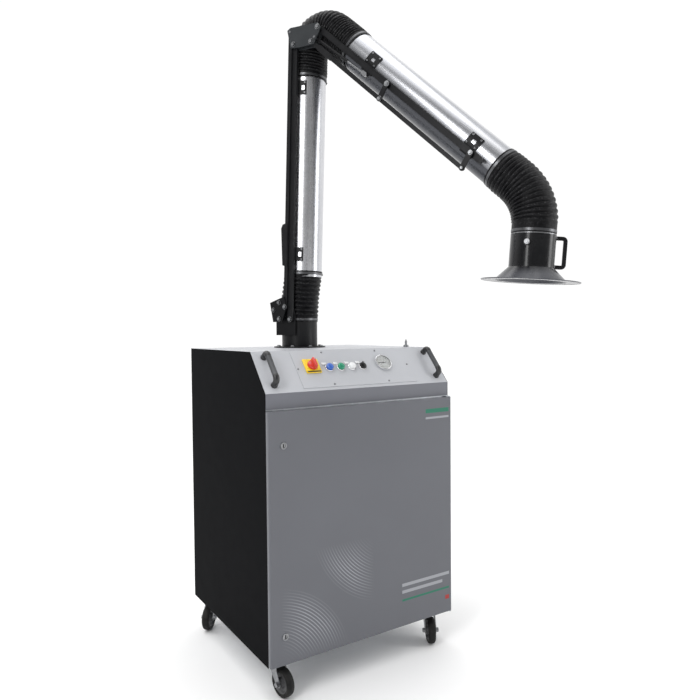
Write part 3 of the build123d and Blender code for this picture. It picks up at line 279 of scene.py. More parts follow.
def make_materials():
    painted("panel_black", (0.0024, 0.0026, 0.0034), 0.58, 900.0, bump=0.12, wear=0.1, tint=0.10,
            shine=0.012,
            mottle=0.3)
    fascia = painted("panel_grey", (0.43, 0.44, 0.465), 0.40, 700.0, bump=0.18, wear=0.2, tint=0.04,
                     shine=0.35)
    # the front below the slope is darker grey: partly a darker paint, partly painted shade for a face that
    # gets less light from above
    split = fascia.node("ShaderNodeSeparateXYZ")
    fascia.link(fascia.coord, split.inputs[0])
    low = fascia.math("LESS_THAN", split.outputs["Z"], BODY_TOP - SLOPE_DROP)
    light = fascia.shader.inputs["Base Color"].links[0].from_socket
    fascia.color(fascia.mix(low, light, fascia.mix(fascia.spread(fascia.noise(3.0, 4.0), 0, 1),
                                                   (0.155, 0.160, 0.182), (0.168, 0.173, 0.195))))
    painted("arm_black", (0.0040, 0.0042, 0.0052), 0.38, 800.0, bump=0.2, wear=0.2, shine=0.22)
    painted("link_grey", (0.026, 0.029, 0.032), 0.40, 800.0, bump=0.2, wear=0.2, shine=0.35)
    hood = painted("hood_black", (0.0042, 0.0044, 0.0055), 0.22, 500.0, bump=0.1, wear=0.15, shine=0.26,
                   coat=0.12)
    # painted sheen: the cone below the collar gets a lighter grey than the collar, standing in for the
    # overhead light it reflects
    level = hood.node("ShaderNodeSeparateXYZ")
    hood.link(hood.coord, level.inputs[0])
    cone_top = (WRIST_FRAME @ Vector((0, 0, -COLLAR_TO))).z
    painted_sheen_mask = hood.spread(level.outputs["Z"], 1.0, 0.0, cone_top - 0.03, cone_top)
    collar = hood.shader.inputs["Base Color"].links[0].from_socket
    hood.color(hood.mix(painted_sheen_mask, collar, hood.mix(hood.noise(9.0, 4.0), (0.055, 0.057, 0.066),
                                                (0.085, 0.088, 0.10))))
    painted("tank_blue", (0.03, 0.05, 0.09), 0.35, 500.0)
    bare_metal("sheet_zinc", (0.50, 0.52, 0.55), 0.38, (30, 30, 4), bump=0.06, tint=0.16)
    bare_metal("zinc_plated", (0.30, 0.305, 0.315), 0.36, (160, 160, 160), tint=0.2)
    bare_metal("steel_band", (0.13, 0.132, 0.138), 0.34, (260, 260, 60))
    bare_metal("fan_alloy", (0.55, 0.56, 0.58), 0.4, (90, 90, 90))
    bare_metal("gauge_steel", (0.72, 0.72, 0.73), 0.18, (300, 300, 40))
    for name, along in (("tube_aluminium", LOWER_DIR), ("tube_aluminium_upper", UPPER_DIR)):
        axis = ARM.to_3x3() @ Vector((along.x, 0, along.y))
        turn = tuple(axis.to_track_quat("Z", "Y").to_euler())
        tube = bare_metal(name, (0.72, 0.725, 0.75), 0.27, (420, 420, 5), turn, bump=0.006, tint=0.05,
                          mottle=0.2)
        # painted reflection: dark streaks along the tube stand in for the darker surroundings a polished
        # tube reflects, mixed over its grain tone
        long_noise = tube.noise(1.0, 2.0, 0.5, tube.mapped((24, 24, 0.3), turn))
        reflection_streak_mask = tube.spread(long_noise, 0.0, 0.7, 0.38, 0.62)
        grain_tone = tube.shader.inputs["Base Color"].links[0].from_socket
        with_painted_streaks = tube.mix(reflection_streak_mask, grain_tone, (0.36, 0.37, 0.40))
        tube.color(with_painted_streaks)
        if along is UPPER_DIR:
            # painted shade: the lower third of the upper tube is greyed darker
            tube.color(tube.mix(upper_tube_underside_shade(tube), with_painted_streaks, (0.085, 0.088, 0.097)))
    plastic("plastic_black", (0.012, 0.012, 0.013), 0.35)
    plastic("grip_grey", (0.045, 0.047, 0.052), 0.38, 1400.0, 0.2)
    plastic("plastic_red", (0.62, 0.022, 0.010), 0.18, coat=0.8)
    plastic("plastic_blue", (0.025, 0.12, 0.50), 0.18, coat=0.8)
    plastic("plastic_green", (0.005, 0.25, 0.13), 0.18, coat=0.8)
    plastic("plastic_white", (0.80, 0.81, 0.82), 0.2, coat=0.6)
    plastic("plastic_yellow", (0.90, 0.62, 0.012), 0.28, coat=0.4)
    plastic("hub_grey", (0.05, 0.05, 0.053), 0.45)
    plastic("dial_white", (0.86, 0.86, 0.85), 0.5, coat=0.0)
    plastic("dial_black", (0.01, 0.01, 0.01), 0.5, coat=0.0)
    glass = Shader("gauge_glass", rough=0.03, Transmission_Weight=1.0, IOR=1.45)
    glass.color(glass.mix(glass.spread(glass.noise(40.0), 0, 1), (0.96, 0.98, 0.98), (1, 1, 1)))
    rubber = Shader("caster_tyre", rough=0.62, Specular_IOR_Level=0.2)
    rubber.color(rubber.mix(rubber.spread(rubber.noise(35.0, 6.0), 0, 1), (0.006, 0.006, 0.0065),
                            (0.022, 0.021, 0.020)))
    rubber.rough(rubber.spread(rubber.noise(80.0), 0.5, 0.75))
    rubber.bump(rubber.noise(700.0), 0.3, 0.0005)
    seal = Shader("seal_rubber", rough=0.7)
    seal.color(seal.mix(seal.spread(seal.noise(50.0), 0, 1), (0.006, 0.006, 0.006), (0.015, 0.015, 0.015)))
    seal.bump(seal.noise(600.0), 0.2, 0.0004)
    hose = Shader("hose_black", rough=0.40, Specular_IOR_Level=0.15)
    weave_a = hose.node("ShaderNodeTexWave", wave_type="BANDS", bands_direction="Z")
    weave_a.inputs["Scale"].default_value = 320.0
    hose.link(hose.coord, weave_a.inputs["Vector"])
    weave_b = hose.node("ShaderNodeTexWave", wave_type="BANDS", bands_direction="DIAGONAL")
    weave_b.inputs["Scale"].default_value = 320.0
    hose.link(hose.coord, weave_b.inputs["Vector"])
    cloth = hose.math("MULTIPLY", weave_a.outputs["Fac"], weave_b.outputs["Fac"])
    # painted highlight: speckled lighter grey on the rib crests stands in for light catching them
    speck = hose.spread(hose.noise(210.0, 4.0, 0.7), 0, 1, 0.52, 0.72)
    painted_sheen_mask = hose.math("MULTIPLY", hose.edges(0.49, 0.58), speck)
    hose.color(hose.mix(painted_sheen_mask, (0.0020, 0.0020, 0.0027), (0.15, 0.15, 0.16)))
    hose.rough(hose.spread(hose.noise(90.0, 4.0), 0.30, 0.55))
    hose.bump(hose.math("ADD", hose.math("MULTIPLY", cloth, 0.5), hose.noise(260.0, 4.0)), 0.35, 0.0008)
    media = Shader("filter_media", rough=0.85)
    media.color(media.mix(media.spread(media.noise(9.0, 5.0), 0, 1), (0.60, 0.59, 0.55),
                          (0.80, 0.79, 0.75)))
    media.bump(media.noise(500.0), 0.4, 0.0006)
    floor = Shader("floor_pale", rough=0.75)
    floor.color(floor.mix(floor.spread(floor.noise(1.2, 3.0), 0, 1), (0.92, 0.92, 0.92),
                          (0.95, 0.95, 0.95)))
    floor.bump(floor.noise(60.0), 0.03, 0.001)
    make_door_paint()


def make_door_paint():
    """Mid grey paint with printed decoration: faint thin arcs low on the left, plain bars on the right."""
    s = painted("door_grey", (0.104, 0.108, 0.122), 0.38, 700.0, bump=0.18, wear=0.3, tint=0.05, shine=0.35)
    plain = s.shader.inputs["Base Color"].links[0].from_socket
    split = s.node("ShaderNodeSeparateXYZ")
    s.link(s.coord, split.inputs[0])
    x, z = split.outputs["X"], split.outputs["Z"]

    def far(cx, cz):
        dx, dz = s.math("SUBTRACT", x, cx), s.math("SUBTRACT", z, cz)
        return s.math("SQRT", s.math("ADD", s.math("MULTIPLY", dx, dx), s.math("MULTIPLY", dz, dz)))

    def inside(value, low, high):
        above = s.math("GREATER_THAN", value, low)
        below = s.math("LESS_THAN", value, high)
        return s.math("MULTIPLY", above, below)

    def soft(value, low, high, edge):
        rise = s.spread(value, 0.0, 1.0, low, low + edge)
        fall = s.spread(value, 1.0, 0.0, high - edge, high)
        return s.math("MULTIPLY", rise, fall)

    def arcs(cx, cz, low, high, pitch, share):
        away = far(cx, cz)
        phase = s.math("FRACT", s.math("DIVIDE", away, pitch))
        line = s.math("LESS_THAN", phase, share)
        return s.math("MULTIPLY", line, soft(away, low, high, 0.06))

    def box(x0, x1, z0, z1):
        return s.math("MULTIPLY", inside(x, x0, x1), inside(z, z0, z1))

    area = s.math("MULTIPLY", soft(x, -0.360, 0.020, 0.09), soft(z, 0.135, 0.500, 0.09))
    fan_one = arcs(-0.420, 0.060, 0.10, 0.34, 0.0100, 0.34)
    fan_two = arcs(0.110, 0.600, 0.10, 0.36, 0.0100, 0.34)
    lines = s.math("MULTIPLY", s.math("MAXIMUM", fan_one, fan_two), area)
    with_arcs = s.mix(s.math("MULTIPLY", lines, 0.9), plain, (0.32, 0.33, 0.36))
    pale = box(0.268, 0.385, 0.905, 0.913)
    for low, right in ((0.278, 0.385), (0.252, 0.350)):
        pale = s.math("MAXIMUM", pale, box(0.150, right, low, low + 0.012))
    with_pale = s.mix(s.math("MULTIPLY", pale, 0.75), with_arcs, (0.40, 0.41, 0.44))
    green = s.math("MAXIMUM", box(0.150, 0.385, 0.222, 0.230), box(0.268, 0.385, 0.928, 0.944))
    with_green = s.mix(s.math("MULTIPLY", green, 0.9), with_pale, (0.010, 0.17, 0.10))
    s.color(s.mix(s.math("MULTIPLY", box(0.365, 0.385, 0.180, 0.196), 0.9), with_green,
                  (0.40, 0.02, 0.015)))


# ---- meshes ---------------------------------------------------------------------------------------
class Build:
    """One piece's mesh, put together from turned, prismatic and swept parts, each with its finish."""

    def __init__(self):
        self.bm = bmesh.new()

    def skin(self, rings, finish=0, wrap_rings=False, ends=True):
        """Faces between closed rings of points; ends of one point close to a tip."""
        made = [[self.bm.verts.new(point) for point in ring] for ring in rings]
        pairs = list(zip(made, made[1:])) + ([(made[-1], made[0])] if wrap_rings else [])
        for lower, upper in pairs:
            count = max(len(lower), len(upper))
            for index in range(count):
                after = (index + 1) % count
                if len(lower) == 1:
                    corners = (lower[0], upper[after], upper[index])
                elif len(upper) == 1:
                    corners = (lower[index], lower[after], upper[0])
                else:
                    corners = (lower[index], lower[after], upper[after], upper[index])
                self.bm.faces.new(corners).material_index = finish
        if ends and not wrap_rings:
            for ring in (made[0], made[-1]):
                if len(ring) > 2:
                    self.bm.faces.new(ring).material_index = finish

    def lathe(self, place, profile, segments=40, finish=0, wrap=False, turn=0.0):
        """Revolve (radius, height) points about the place's Z."""
        rings = []
        for radius, height in profile:
            if radius < 1e-6:
                rings.append([place @ Vector((0, 0, height))])
                continue
            angles = [turn + 2 * pi * index / segments for index in range(segments)]
            rings.append([place @ Vector((radius * cos(a), radius * sin(a), height)) for a in angles])
        self.skin(rings, finish, wrap)

    def ring(self, place, inner, outer, low, high, finish=0, segments=64, soft=0.0004):
        """Flat or tall band with softened edges."""
        self.lathe(place, [(inner, low), (outer - soft, low), (outer, low + soft), (outer, high - soft),
                           (outer - soft, high), (inner, high)], segments, finish, wrap=True)

    def block(self, place, size, bevel=0.001, finish=0, steps=2):
        """Box centred on the place with rounded edges."""
        box = bmesh.new()
        bmesh.ops.create_cube(box, size=1.0)
        bmesh.ops.scale(box, vec=size, verts=box.verts)
        bmesh.ops.bevel(box, geom=box.edges[:], offset=bevel, segments=steps, affect="EDGES", profile=0.5)
        self.take(box, place, finish)

    def take(self, other, place, finish):
        bmesh.ops.recalc_face_normals(other, faces=other.faces)
        other.transform(place)
        for face in other.faces:
            face.material_index = finish
        held = bpy.data.meshes.new("held")
        other.to_mesh(held)
        other.free()
        self.bm.from_mesh(held)
        bpy.data.meshes.remove(held)

    def pipe(self, points, across, radii, segments=20, finishes=None, oval=1.0):
        """Round bar through points in one plane whose normal is across; one radius for each point."""
        rings = []
        for index, point in enumerate(points):
            before, after = points[max(index - 1, 0)], points[min(index + 1, len(points) - 1)]
            aim = (after - before).normalized()
            side = aim.cross(across).normalized()
            radius = radii[index]
            rings.append([point + side * radius * cos(2 * pi * k / segments)
                          + across * radius * oval * sin(2 * pi * k / segments) for k in range(segments)])
        start = len(self.bm.faces)
        self.skin(rings)
        if finishes:
            self.bm.faces.ensure_lookup_table()
            for span, finish in enumerate(finishes):
                for k in range(segments):
                    self.bm.faces[start + span * segments + k].material_index = finish

    def bolt(self, place, radius, height, finish=0, washer=1.45):
        """Hexagon head with a chamfered top, on a washer."""
        if washer:
            self.ring(place, radius * 0.5, radius * washer, 0.0, 0.0012, finish, 28, 0.0003)
        self.lathe(place, [(0, 0.0004), (radius, 0.0004), (radius, height * 0.82), (radius * 0.86, height),
                           (radius * 0.4, height), (0, height * 0.93)], 6, finish,
                   turn=place.translation.x * 37)

    def socket_screw(self, place, radius, height, finish=0, dark=1):
        """Button head with a hexagon socket."""
        dome = [(0, 0), (radius, 0), (radius, height * 0.25), (radius * 0.86, height * 0.72),
                (radius * 0.6, height),
                (radius * 0.42, height), (radius * 0.40, height * 0.35), (0, height * 0.35)]
        self.lathe(place, dome, 24, finish)
        self.lathe(place, [(0, height * 0.36), (radius * 0.36, height * 0.36),
                           (radius * 0.36, height * 0.42),
                           (0, height * 0.42)], 6, dark)

    def done(self, name, body, finishes, slot, replaces=(), angle=34.0, ride=True):
        bmesh.ops.recalc_face_normals(self.bm, faces=self.bm.faces)
        mesh = bpy.data.meshes.new(name)
        self.bm.to_mesh(mesh)
        self.bm.free()
        for finish in finishes:
            mesh.materials.append(MATERIALS[finish])
        mesh.shade_smooth()
        mesh.set_sharp_from_angle(angle=radians(angle))
        piece = bpy.data.objects.new(name, mesh)
        SCENE.collection.objects.link(piece)
        if ride:
            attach(piece, body)
        if replaces:
            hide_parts(*replaces)
        return piece


# ---- hoses ----------------------------------------------------------------------------------------
def straight(start, end, step):
    """Points and headings along a line in the arm's plane."""
    span = end - start
    count = max(1, round(span.length / step))
    return [(start + span * (index / count), span.normalized()) for index in range(count + 1)]


def arc(start, heading, radius, turn, step):
    """Points and headings along an arc that bends towards lower right."""
    count = max(1, round(radius * turn / step))
    centre = start + Vector((heading.y, -heading.x)) * radius
    made = []
    for index in range(count + 1):
        swing = Matrix.Rotation(-turn * index / count, 2)
        made.append((centre + swing @ (start - centre), swing @ heading))
    return made


def joined(*runs):
    """Runs one after another with the distance travelled to each point."""
    samples = []
    for run in runs:
        samples += run if not samples else run[1:]
    travelled = [0.0]
    for first, second in zip(samples, samples[1:]):
        travelled.append(travelled[-1] + (second[0] - first[0]).length)
    return [(point, heading, away) for (point, heading), away in zip(samples, travelled)]


def corrugated(samples, total, pitch, plain_end=CUFF_LENGTH, segments=72):
    """Ribbed hose round a line in the arm's plane, with plain cuffs where it grips a tube."""
    outer, inner = [], []
    for point, heading, away in samples:
        aside = Vector((-heading.y, heading.x))
        past_cuffs = min(away - CUFF_LENGTH, total - away - plain_end)
        ribbed = min(1.0, max(0.0, past_cuffs / RIB_RISE))
        ring_out, ring_in = [], []
        for index in range(segments):
            angle = 2 * pi * index / segments
            wave = abs(cos(pi * (away / pitch + index / segments))) ** 1.25
            spot = at_arm(point + aside * HOSE_OUT * cos(angle), HOSE_OUT * sin(angle))
            crease = noise.noise(spot * 95.0) * 0.0011 * (1.2 - wave) + noise.noise(spot * 28.0) * 0.0006
            fold = VALLEY_R - CUFF_R + (HOSE_OUT - VALLEY_R) * wave + crease
            height = CUFF_R + ribbed * fold
            for ring, radius in ((ring_out, height), (ring_in, height - HOSE_SKIN)):
                ring.append(at_arm(point + aside * radius * cos(angle), radius * sin(angle)))
        outer.append(ring_out)
        inner.append(ring_in)
    made = Build()
    made.skin(outer + inner[::-1], wrap_rings=True)
    return made


def hoses():
    """Base, elbow and wrist hose, each built with its bend at the joint that it spans."""
    step = 0.00185
    top = on_lower(LOWER_TUBE[0])
    low = Vector((0.0, 1.288))
    count = 108
    run = []
    for index in range(count + 1):
        t = index / count
        lift = low + (top - low) * t
        bow = low.lerp(top, t)
        lean = Vector((0, 1)).lerp(LOWER_DIR, t).normalized()
        run.append((Vector((bow.x * t, lift.y)), lean))
    base = joined(run)
    total = base[-1][2]
    made = corrugated(base, total, BASE_PITCH)
    piece = made.done("base_hose_ribbed", None, ["hose_black"], "hose_black", ["base_hose"], 60, ride=False)
    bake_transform(piece)
    # elbow: straight, one bend whose crown is where the line runs level, straight
    begin, end = on_lower(LOWER_TUBE[1]), on_upper(UPPER_TUBE[0], TUBE_OFF)
    gap = end - begin
    cross = LOWER_DIR.x * UPPER_DIR.y - LOWER_DIR.y * UPPER_DIR.x
    corner = begin + LOWER_DIR * ((gap.x * UPPER_DIR.y - gap.y * UPPER_DIR.x) / cross)
    bend = pi / 2 - LOWER_LEAN + UPPER_FALL
    reach = ELBOW_BEND * tan(bend / 2)
    first = corner - LOWER_DIR * reach
    rise = pi / 2 - LOWER_LEAN
    up_arc = arc(first, LOWER_DIR, ELBOW_BEND, rise, step)
    crown = up_arc[-1][0]
    down_arc = arc(crown, Vector((1, 0)), ELBOW_BEND, bend - rise, step)
    whole = joined(straight(begin, first, step), up_arc, down_arc, straight(down_arc[-1][0], end, step))
    total = whole[-1][2]
    split = min(range(len(whole)), key=lambda k: (whole[k][0] - crown).length)
    halves = (("elbow_hose_lower_ribbed", whole[:split + 1], "elbow_hose_lower"),
              ("elbow_hose_upper_ribbed", whole[split:], "elbow_hose_upper"))
    for name, samples, node in halves:
        made = corrugated(samples, total, ELBOW_PITCH)
        piece = made.done(name, None, ["hose_black"], "hose_black", [node], 60, ride=False)
        if node == "elbow_hose_lower":
            slant = Vector((cos(radians(78)), sin(radians(78))))
            start = begin + slant * (LOWER_SIDE.dot(slant) * HOSE_OUT)
            finish = crown - slant * (slant.y * HOSE_OUT)
            finish = start + slant * (finish - start).dot(slant)
            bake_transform(piece)
        else:
            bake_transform(piece)
    # wrist: straight, one bend about the wrist pivot, straight
    begin = on_upper(UPPER_TUBE[1], TUBE_OFF)
    end = WRIST + HOOD_DIR * 0.127
    turn = UPPER_DIR.angle(HOOD_DIR)
    first = WRIST - UPPER_DIR * 0.096
    bend_run = arc(first, UPPER_DIR, 0.096 / tan(turn / 2), turn, step)
    wrist = joined(straight(begin, first, step), bend_run, straight(bend_run[-1][0], end, step))
    total = wrist[-1][2]
    made = corrugated(wrist, total, WRIST_PITCH, plain_end=0.034)
    piece = made.done("wrist_hose_ribbed", None, ["hose_black"], "hose_black", ["wrist_hose"], 60,
                      ride=False)
    aim = (end - begin).normalized()
    start = begin + aim * abs(aim.dot(UPPER_SIDE)) * HOSE_OUT
    side = Vector((-HOOD_DIR.y, HOOD_DIR.x))
    finish = end - aim * abs(aim.dot(side)) * HOSE_OUT
    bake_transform(piece)


def hose_clamp(name, body, point, heading, side=1.0):
    """Steel band round a hose end with its worm housing and screw."""
    axis = ARM.to_3x3() @ Vector((heading.x, 0, heading.y))
    place = facing(at_arm(point), axis)
    made = Build()
    made.ring(place, CUFF_R - 0.0001, CUFF_R + 0.0010, -0.0045, 0.0045, soft=0.0002)
    turn = Matrix.Rotation(side, 4, "Z")
    made.block(place @ turn @ Matrix.Translation((CUFF_R + 0.0032, 0, 0)), (0.006, 0.014, 0.010), 0.0015)
    screw = place @ turn @ Matrix.Translation((CUFF_R + 0.0040, -0.006, 0)) @ QUARTER
    made.bolt(screw, 0.0032, 0.005, washer=0)
    made.ring(place, CUFF_R + 0.0009, CUFF_R + 0.0014, -0.0012, 0.0012, soft=0.0001)
    made.done(name, body, ["steel_band"], "zinc_plated")


# ---- cabinet --------------------------------------------------------------------------------------
def console():
    """Switch, buttons, label holders, gauge, screws and handles on the sloping panel."""
    made = Build()
    place = on_slope(SWITCH_X, SWITCH_UP, SURFACE)
    half = SWITCH_PLATE / 2
    middle = place @ Matrix.Translation((0, 0, 0.0030))
    made.block(middle, (SWITCH_PLATE, SWITCH_PLATE, 0.0058), 0.0016, 0, 3)
    made.block(place @ Matrix.Translation((0, -half + 0.0045, 0.0062)),
               (SWITCH_PLATE - 0.006, 0.0050, 0.0012), 0.0004, 1)
    made.ring(place, 0.0085, 0.0225, 0.0057, 0.0066, 0, 48)
    made.done("switch_face", "cabinet", ["plastic_yellow", "plastic_black"], "plastic_black",
              ["control_bezels"])
    knob = Build()
    place = on_slope(SWITCH_X, SWITCH_UP, SURFACE + 0.0066)
    knob.lathe(place, [(0, -0.018), (0.0075, -0.018), (0.0075, 0), (0.0196, 0), (0.0200, 0.0012),
                       (0.0198, 0.0065),
                       (0.0180, 0.0100), (0.0135, 0.0122), (0, 0.0130)], 48)
    knob.block(place @ Matrix.Translation((0, 0, 0.0170)), (0.0130, 0.0375, 0.0240), 0.0050, 0, 4)
    knob.block(place @ Matrix.Translation((0, 0.0130, 0.0294)), (0.0018, 0.0090, 0.0010), 0.0003, 1)
    knob.done("switch_grip", "switch_knob", ["plastic_red", "plastic_white"], "plastic_red",
              ["switch_knob"])
    bezels = Build()
    labels = Build()
    spots = [(BUTTON_X + index * BUTTON_PITCH, BUTTON_UP) for index in range(4)]
    for x, up in spots:
        place = on_slope(x, up, SURFACE)
        bezels.lathe(place, [(0.0143, 0), (0.0168, 0), (0.0168, 0.0018), (0.0160, 0.0042), (0.0150, 0.0050),
                             (0.0143, 0.0046)],
                     48, 0, wrap=True)
        tag = on_slope(x - 0.0150, up + 0.0190, SURFACE)
        labels.block(tag @ Matrix.Translation((0, 0, 0.0010)), (0.0190, 0.0115, 0.0020), 0.0005, 1)
        labels.block(tag @ Matrix.Translation((0, 0, 0.0021)), (0.0160, 0.0085, 0.0008), 0.0003, 0)
    bezels.done("button_collars", "cabinet", ["gauge_steel"], "plastic_black")
    labels.done("label_holders", "cabinet", ["plastic_white", "gauge_steel"], "plastic_white")
    for (x, up), color in zip(spots, ("blue", "green", "white")):
        cap = Build()
        place = on_slope(x, up, SURFACE + 0.004)
        cap.lathe(place, [(0, -0.014), (0.0075, -0.014), (0.0075, 0.0008), (0.0138, 0), (0.0138, 0.0070),
                          (0.0132, 0.0092),
                          (0.0112, 0.0106), (0.0070, 0.0112), (0, 0.0114)], 48)
        cap.done(f"button_{color}_cap", f"button_{color}", [f"plastic_{color}"], f"plastic_{color}",
                 [f"button_{color}"], 50)
    turn = Build()
    place = on_slope(*spots[3], SURFACE + 0.004)
    turn.lathe(place, [(0, -0.014), (0.0075, -0.014), (0.0075, -0.001), (0.0136, 0), (0.0138, 0.004),
                       (0.0128, 0.0062),
                       (0, 0.0068)], 48)
    turn.block(place @ Matrix.Translation((0, 0, 0.0110)), (0.0080, 0.0250, 0.0105), 0.0026, 0, 3)
    turn.block(place @ Matrix.Translation((0, 0.0065, 0.0164)), (0.0014, 0.0090, 0.0006), 0.0002, 1)
    turn.done("selector_grip", "selector_knob", ["plastic_black", "plastic_white"], "plastic_black",
              ["selector_knob"])
    gauge()
    screws = Build()
    for x, up in ((-0.120, 0.077), (0.120, 0.077), (-0.242, 0.005), (0.242, 0.005), (-0.120, -0.068),
                  (0.120, -0.068)):
        screws.socket_screw(on_slope(x, up, SURFACE), 0.0040, 0.0022)
    for index in range(8):
        turned = ARM_BEARING + radians(15 + 45 * index)
        spot = Vector((0.096 * cos(turned), ARM_Y + 0.096 * sin(turned), BODY_TOP + 0.0053))
        screws.bolt(Matrix.Translation(spot), 0.0065, 0.0056)
    screws.done("cabinet_bolts", "cabinet", ["zinc_plated", "dial_black"], "zinc_plated",
                ["cabinet_screws"])
    handles()


def gauge():
    """Round gauge: rolled steel rim, white dial with ticks, and a lens."""
    place = on_slope(GAUGE_X, GAUGE_UP, SURFACE)
    rim = Build()
    rim.lathe(place, [(0.0260, -0.022), (0.0320, -0.0002), (GAUGE_R, 0.0002), (GAUGE_R, 0.0070),
                      (0.0344, 0.0086),
                      (0.0330, 0.0090), (0.0322, 0.0084), (0.0320, 0.0030), (0.0250, 0.0024)], 64, 0,
              wrap=True)
    rim.done("gauge_case", "cabinet", ["gauge_steel"], "gauge_steel", ["pressure_gauge"])
    dial = Build()
    dial.ring(place, 0.0022, 0.0318, 0.0024, 0.0032, 0, 64, 0.0001)
    for index in range(25):
        angle = radians(225 - index * 270 / 24)
        long = index % 4 == 0
        size = (0.0046 if long else 0.0026, 0.0009 if long else 0.0005, 0.0003)
        radius = 0.0292 - size[0] / 2
        spot = place @ Matrix.Translation((radius * cos(angle), radius * sin(angle),
                                           0.0033)) @ Matrix.Rotation(angle, 4, "Z")
        dial.block(spot, size, 0.0001, 1, 1)
    dial.done("gauge_dial", "cabinet", ["dial_white", "dial_black"], "plastic_white")
    lens = Build()
    lens.lathe(place, [(0, 0.0068), (0.0318, 0.0068), (0.0318, 0.0078), (0.0240, 0.0083), (0, 0.0087)], 64)
    lens.done("gauge_lens", "cabinet", ["gauge_glass"], "plastic_white")


def handles():
    """Two bridge handles: black feet and corners, and a smooth grey grip between them."""
    made = Build()
    for side in (-1, 1):
        place = on_slope(side * HANDLE_X, 0.002, 0.0003)
        top = HANDLE_H - HANDLE_R
        bend = 0.014
        outline = [(-HANDLE_REACH, 0.002)]
        for index in range(9):
            angle = pi - index * pi / 16
            outline.append((-HANDLE_REACH + bend + bend * cos(angle), top - bend + bend * sin(angle)))
        for step in (0.0005, 0.0025, 0.0045):
            outline.append((-HANDLE_REACH + bend + 0.004 + step, top))
        half = outline[:]
        outline += [(-y, z) for y, z in reversed(half)]
        points = [place @ Vector((0, y, z)) for y, z in outline]
        across = place.to_3x3() @ Vector((1, 0, 0))
        count = len(half)
        radii = [0.0100] * (count - 3) + [0.0100, 0.0096, 0.0093]
        radii = radii + radii[::-1]
        spans = [0] * (count - 2) + [1] * 3 + [0] * (count - 2)
        made.pipe(points, across, radii, 24, spans, oval=1.12)
        for end in (-1, 1):
            foot = place @ Matrix.Translation((0, end * HANDLE_REACH, 0))
            made.lathe(foot, [(0, 0), (0.0120, 0), (0.0120, 0.0060), (0.0108, 0.0088), (0.0086, 0.0100),
                              (0, 0.0100)], 32)
    made.done("bridge_handle_grips", "cabinet", ["plastic_black", "grip_grey"], "plastic_black",
              ["bridge_handles"], 40)


def door_details():
    """Quarter-turn locks and the seal round the door's back."""
    for name, height in zip(("door_lock_upper", "door_lock_lower"), LOCK_Z):
        made = Build()
        place = Matrix.Translation((LOCK_X, DOOR_FACE, height)) @ QUARTER
        made.lathe(place, [(0, -0.028), (0.0098, -0.028), (0.0098, 0), (0.0120, 0.0001), (0.0120, 0.0018),
                           (0.0112, 0.0031),
                           (0.0084, 0.0034), (0.0078, 0.0026), (0.0074, 0.0006), (0, 0.0006)], 40)
        made.block(place @ Matrix.Translation((0, 0, 0.0014)), (0.0034, 0.0120, 0.0018), 0.0005, 1)
        cam = Matrix.Translation((LOCK_X, FRONT + 0.0045, height + 0.008))
        made.block(cam, (0.0140, 0.0030, 0.0360), 0.0010)
        made.done(f"{name}_barrel", name, ["zinc_plated", "dial_black"], "zinc_plated", [name])
    seal = Build()
    inset, low, high = HALF_W - 0.012, DOOR_LOW + 0.010, DOOR_TOP - 0.010
    corners = ((-inset, low), (inset, low), (inset, high), (-inset, high))
    rings = []
    for x, z in corners:
        out_x, out_z = (1 if x > 0 else -1), (1 if z > 0.5 else -1)
        section = [(-0.006, 0.0), (0.006, 0.0), (0.0055, 0.0018), (0.0020, 0.0029), (-0.0020, 0.0029),
                   (-0.0055, 0.0018)]
        rings.append([Vector((x - out_x * u, FRONT - 0.0035 + v, z - out_z * u)) for u, v in section])
    seal.skin(rings, wrap_rings=True)
    seal.done("door_seal", "door", ["seal_rubber"], "plastic_black")


def casters():
    """Tyres and hubs on the four wheels, and nuts on the axles."""
    trail, axle_up = 0.040, 0.050
    for corner, side_x, side_y, turn in (("front_left", -1, -1, -80), ("front_right", 1, -1, -120),
                                         ("rear_left", -1, 1, -132), ("rear_right", 1, 1, -60)):
        centre = Matrix.Translation((side_x * (HALF_W - CASTER_IN), side_y * (-FRONT - CASTER_IN), 0))
        frame_place = centre @ Matrix.Rotation(radians(turn), 4, "Z")
        axle = frame_place @ Matrix.Translation((trail, 0, axle_up)) @ QUARTER
        wheel = Build()
        wheel.lathe(axle, [(0.0355, -0.0130), (0.0430, -0.0150), (0.0478, -0.0120), (0.0496, -0.0070),
                           (0.0500, 0),
                           (0.0496, 0.0070), (0.0478, 0.0120), (0.0430, 0.0150), (0.0355, 0.0130)], 72, 0,
                    wrap=True)
        wheel.lathe(axle, [(0.0062, -0.0178), (0.0150, -0.0178), (0.0165, -0.0120), (0.0200, -0.0070),
                           (0.0300, -0.0070),
                           (0.0340, -0.0125), (0.0358, -0.0125), (0.0358, 0.0125), (0.0340, 0.0125),
                           (0.0300, 0.0070),
                           (0.0200, 0.0070), (0.0165, 0.0120), (0.0150, 0.0178), (0.0062, 0.0178)], 72, 1,
                    wrap=True)
        wheel.done(f"wheel_{corner}_tyre", f"wheel_{corner}", ["caster_tyre", "hub_grey"], "caster_tyre",
                   [f"caster_wheel_{corner}"], 40)
        nuts = Build()
        for end in (-1, 1):
            spot = frame_place @ Matrix.Translation((trail, end * 0.0280, axle_up))
            spot = spot @ Matrix.Rotation(radians(-90 * end), 4, "X")
            nuts.bolt(spot, 0.0088, 0.0040, washer=0)
        nuts.done(f"axle_nuts_{corner}", f"fork_{corner}", ["zinc_plated"], "zinc_plated")


